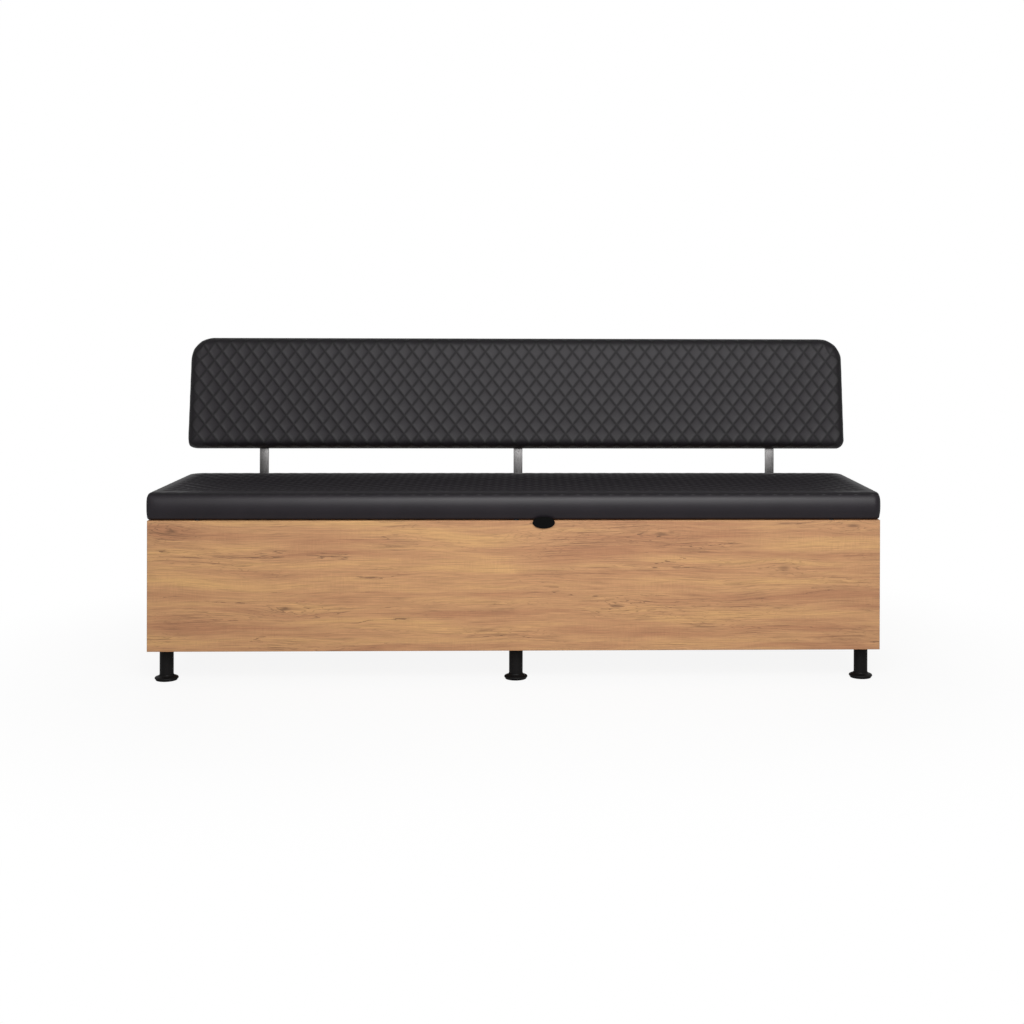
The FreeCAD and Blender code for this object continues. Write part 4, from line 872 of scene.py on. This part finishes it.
class BENCH_OT_pull(bpy.types.Operator):
    """Moulds the oval finger pull on its tongue"""
    bl_idname = "bench.pull"
    bl_label = "Finger pull"

    def execute(self, context):
        low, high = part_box("pull_tab")
        middle = (low + high) / 2
        rim, back = PULL_RIM, low.y + PULL_THICK
        deselect()
        bpy.ops.mesh.primitive_cylinder_add(vertices=96, radius=(high.x - low.x) / 2, depth=rim,
                                            location=(middle.x, back - rim / 2, middle.z),
                                            rotation=(math.pi / 2, 0, 0))
        pull = context.object
        keep_place(pull)
        bpy.ops.object.mode_set(mode="EDIT")
        bpy.ops.mesh.select_all(action="SELECT")
        flatness = (high.z - low.z) / (high.x - low.x)
        bpy.ops.transform.resize(value=(1, 1, flatness), center_override=middle)
        bpy.ops.object.mode_set(mode="OBJECT")
        for face in pull.data.polygons:
            face.select = face.normal.y < -0.9
        bpy.ops.object.mode_set(mode="EDIT")
        for thickness, rise in PULL_DOME:
            bpy.ops.mesh.inset(thickness=thickness, depth=0)
            bpy.ops.transform.translate(value=(0, -rise, 0))
        bpy.ops.object.mode_set(mode="OBJECT")
        front = back - TONGUE_LAP
        bpy.ops.mesh.primitive_cube_add(size=1, location=(middle.x, (front + high.y) / 2, TONGUE_HEIGHT))
        tongue = context.object
        tongue.scale = (TONGUE_WIDTH, high.y - front, TONGUE_THICK)
        keep_place(tongue)
        edges = tongue.modifiers.new("Edges", "BEVEL")
        edges.width = 0.0004
        edges.segments = 2
        apply_modifiers(tongue)
        activate(pull)
        tongue.select_set(True)
        bpy.ops.object.join()
        smooth(pull, 40)
        dress(pull, "oval_pull", moulded_plastic(), "lid", "black_plastic", "pull_tab")
        return {"FINISHED"}


class BENCH_OT_metalwork(bpy.types.Operator):
    """Paints hinges, struts, brackets, screws and bumpers"""
    bl_idname = "bench.metalwork"
    bl_label = "Metalwork"

    def execute(self, context):
        zinc = zinc_plate()
        paint(zinc, "corner_brackets", "box_screws", "rear_panel_screws", "hinge_pins", "hinge_lid_screws",
              "lid_screws", "bar_bolts", "bar_nuts", "backrest_tee_nuts", "backrest_bolts")
        paint(zinc, *[f"{third}_hinge_{half}_leaf" for third in THIRDS for half in ("rail", "lid")])
        paint(zinc, *[f"{side}_strut_{part}" for side in SIDES for part in ("wall_bracket", "hanger")])
        paint(chromed_rod(), *[f"{side}_strut_rod" for side in SIDES])
        leg_coat = NODES["front_left_leg_post"].data.materials[0]
        paint(leg_coat, *[f"{side}_strut_cylinder" for side in SIDES])
        paint(bumper_rubber(), "lid_bumpers")
        return {"FINISHED"}


def background_share(tree):
    """How white floor and world are: wholly to the camera and through glass, a quarter in reflections."""
    path = add_node(tree, "LightPath").outputs
    sheen = add_node(tree, "Math", {0: path["Is Glossy Ray"], 1: 0.25}, operation="MULTIPLY").outputs[0]
    clear = add_node(tree, "Math", {0: path["Is Camera Ray"], 1: path["Is Transmission Ray"]},
                     operation="MAXIMUM").outputs[0]
    return add_node(tree, "Math", {0: clear, 1: sheen}, operation="MAXIMUM").outputs[0]


def studio_paper():
    """Matt white paper: to the eye mostly white, so that only a soft part of the shadow stays."""
    material, tree, shader = new_material("studio_paper")
    tone = add_node(tree, "MapRange", {
        "Value": add_node(tree, "LightPath").outputs["Is Camera Ray"], "To Min": 0.45, "To Max": 0.9})
    tree.links.new(tone.outputs[0], shader.inputs["Base Color"])
    shader.inputs["Roughness"].default_value = 0.9
    shader.inputs["Specular IOR Level"].default_value = 0.0
    white = add_node(tree, "Emission", {"Strength": 1.0})
    place = add_node(tree, "TexCoord").outputs["Object"]
    far = add_node(tree, "VectorMath", {0: place}, operation="LENGTH").outputs["Value"]
    paper = add_node(tree, "MapRange", {
        "Value": far, "From Min": 0.9, "From Max": 1.7, "To Min": 0.9, "To Max": 1.0},
        interpolation_type="SMOOTHSTEP").outputs[0]
    share = add_node(tree, "Math", {0: background_share(tree), 1: paper}, operation="MULTIPLY").outputs[0]
    mixed = add_node(tree, "MixShader", {
        "Fac": share, 1: shader.outputs["BSDF"], 2: white.outputs["Emission"]})
    tree.links.new(mixed.outputs["Shader"], tree.nodes["Material Output"].inputs["Surface"])
    return material


def studio_world():
    """A white world that lights the bench only faintly."""
    world = bpy.data.worlds.new("studio_world")
    world.use_nodes = True
    sky = world.node_tree
    ambient = sky.nodes["Background"]
    ambient.inputs["Color"].default_value = (1, 1, 1, 1)
    ambient.inputs["Strength"].default_value = 0.27
    backdrop = add_node(sky, "Background", {"Color": (1, 1, 1, 1), "Strength": 1.0})
    mixed = add_node(sky, "MixShader", {
        "Fac": background_share(sky), 1: ambient.outputs["Background"], 2: backdrop.outputs["Background"]})
    sky.links.new(mixed.outputs["Shader"], sky.nodes["World Output"].inputs["Surface"])
    return world


# Lamps: name, place, aim, width, height, power in watts, and whether they show in reflections
LAMPS = [
    ("front_softbox", (0.5, -4.4, 2.35), (0.0, 0.0, 0.4), 4.4, 2.8, 128, True),
    ("strip_softbox", (0.25, -1.75, 1.45), (0.05, -0.2, 0.42), 1.9, 0.6, 15, True),
    ("rear_softbox", (-0.8, 4.2, 2.3), (0.0, 0.0, 0.4), 3.6, 2.0, 90, False),
]


def hang_lamp(scene, name, place, aim, wide, tall, power, shows):
    """Hangs a rectangular lamp and turns it to its aim."""
    lamp = bpy.data.lights.new(name, "AREA")
    lamp.shape = "RECTANGLE"
    lamp.size = wide
    lamp.size_y = tall
    lamp.energy = power
    holder = bpy.data.objects.new(name, lamp)
    scene.collection.objects.link(holder)
    holder.location = place
    holder.visible_glossy = shows
    holder.rotation_euler = (Vector(aim) - Vector(place)).to_track_quat("-Z", "Y").to_euler()


def photo_camera(scene, stage):
    """Sets the camera where the photograph was taken."""
    turn = Matrix.Rotation(stage.yaw, 3, "Z")
    ahead = turn @ Vector((0, math.cos(stage.pitch), -math.sin(stage.pitch)))
    down = turn @ Vector((0, -math.sin(stage.pitch), -math.cos(stage.pitch)))
    right = down.cross(ahead)
    across = math.cos(stage.roll) * right + math.sin(stage.roll) * down
    drop = -math.sin(stage.roll) * right + math.cos(stage.roll) * down
    lens = bpy.data.cameras.new("photo_camera")
    lens.sensor_width = 36
    lens.lens = stage.lens
    lens.shift_x, lens.shift_y = stage.shift
    camera = bpy.data.objects.new("photo_camera", lens)
    scene.collection.objects.link(camera)
    pose = Matrix((across, -drop, -ahead)).transposed().to_4x4()
    pose.translation = Vector(stage.position)
    camera.matrix_world = pose
    return camera


class BENCH_OT_stage(bpy.types.Operator):
    """Sets the floor, the studio light and the camera"""
    bl_idname = "bench.stage"
    bl_label = "Stage"

    def execute(self, context):
        scene = context.scene
        deselect()
        # A little below the pads, so that the two don't flicker
        bpy.ops.mesh.primitive_plane_add(size=24, location=(0, 0, -0.0004))
        floor = context.object
        floor.name = "studio_floor"
        keep_place(floor)
        floor.data.materials.append(studio_paper())
        scene.world = studio_world()
        for lamp in LAMPS:
            hang_lamp(scene, *lamp)
        scene.camera = photo_camera(scene, scene.bench_stage)
        scene.view_settings.view_transform = "Standard"
        return {"FINISHED"}


class BENCH_PT_sidebar(bpy.types.Panel):
    """Lists the steps that dress the bench"""
    bl_idname = "BENCH_PT_sidebar"
    bl_label = "Waiting Room Bench"
    bl_space_type = "VIEW_3D"
    bl_region_type = "UI"
    bl_category = "Bench"

    def draw(self, context):
        layout = self.layout
        for group in (context.scene.bench_cushions, context.scene.bench_finishes, context.scene.bench_stage):
            box = layout.box()
            for key in group.__annotations__:
                box.prop(group, key)
        for step in STEPS_IN_ORDER:
            layout.operator(step.bl_idname)


STEPS_IN_ORDER = (BENCH_OT_box, BENCH_OT_legs, BENCH_OT_seat, BENCH_OT_pull, BENCH_OT_backrest, BENCH_OT_bars,
                  BENCH_OT_metalwork, BENCH_OT_stage)
GROUPS = {"bench_cushions": BenchCushions, "bench_finishes": BenchFinishes, "bench_stage": BenchStage}


def register():
    """Registers the classes and hangs the settings on the scene."""
    for group in (*GROUPS.values(), *STEPS_IN_ORDER, BENCH_PT_sidebar):
        bpy.utils.register_class(group)
    for key, group in GROUPS.items():
        setattr(bpy.types.Scene, key, bpy.props.PointerProperty(type=group))


def unregister():
    """Takes the settings off the scene and unregisters the classes."""
    for key in GROUPS:
        delattr(bpy.types.Scene, key)
    for group in (BENCH_PT_sidebar, *reversed(STEPS_IN_ORDER), *reversed(GROUPS.values())):
        bpy.utils.unregister_class(group)


def main():
    """Dresses the bench step by step."""
    register()
    bpy.ops.bench.box()
    bpy.ops.bench.legs()
    bpy.ops.bench.seat()
    bpy.ops.bench.pull()
    bpy.ops.bench.backrest()
    bpy.ops.bench.bars()
    bpy.ops.bench.metalwork()
    bpy.ops.bench.stage()


if __name__ == "__main__":
    main()
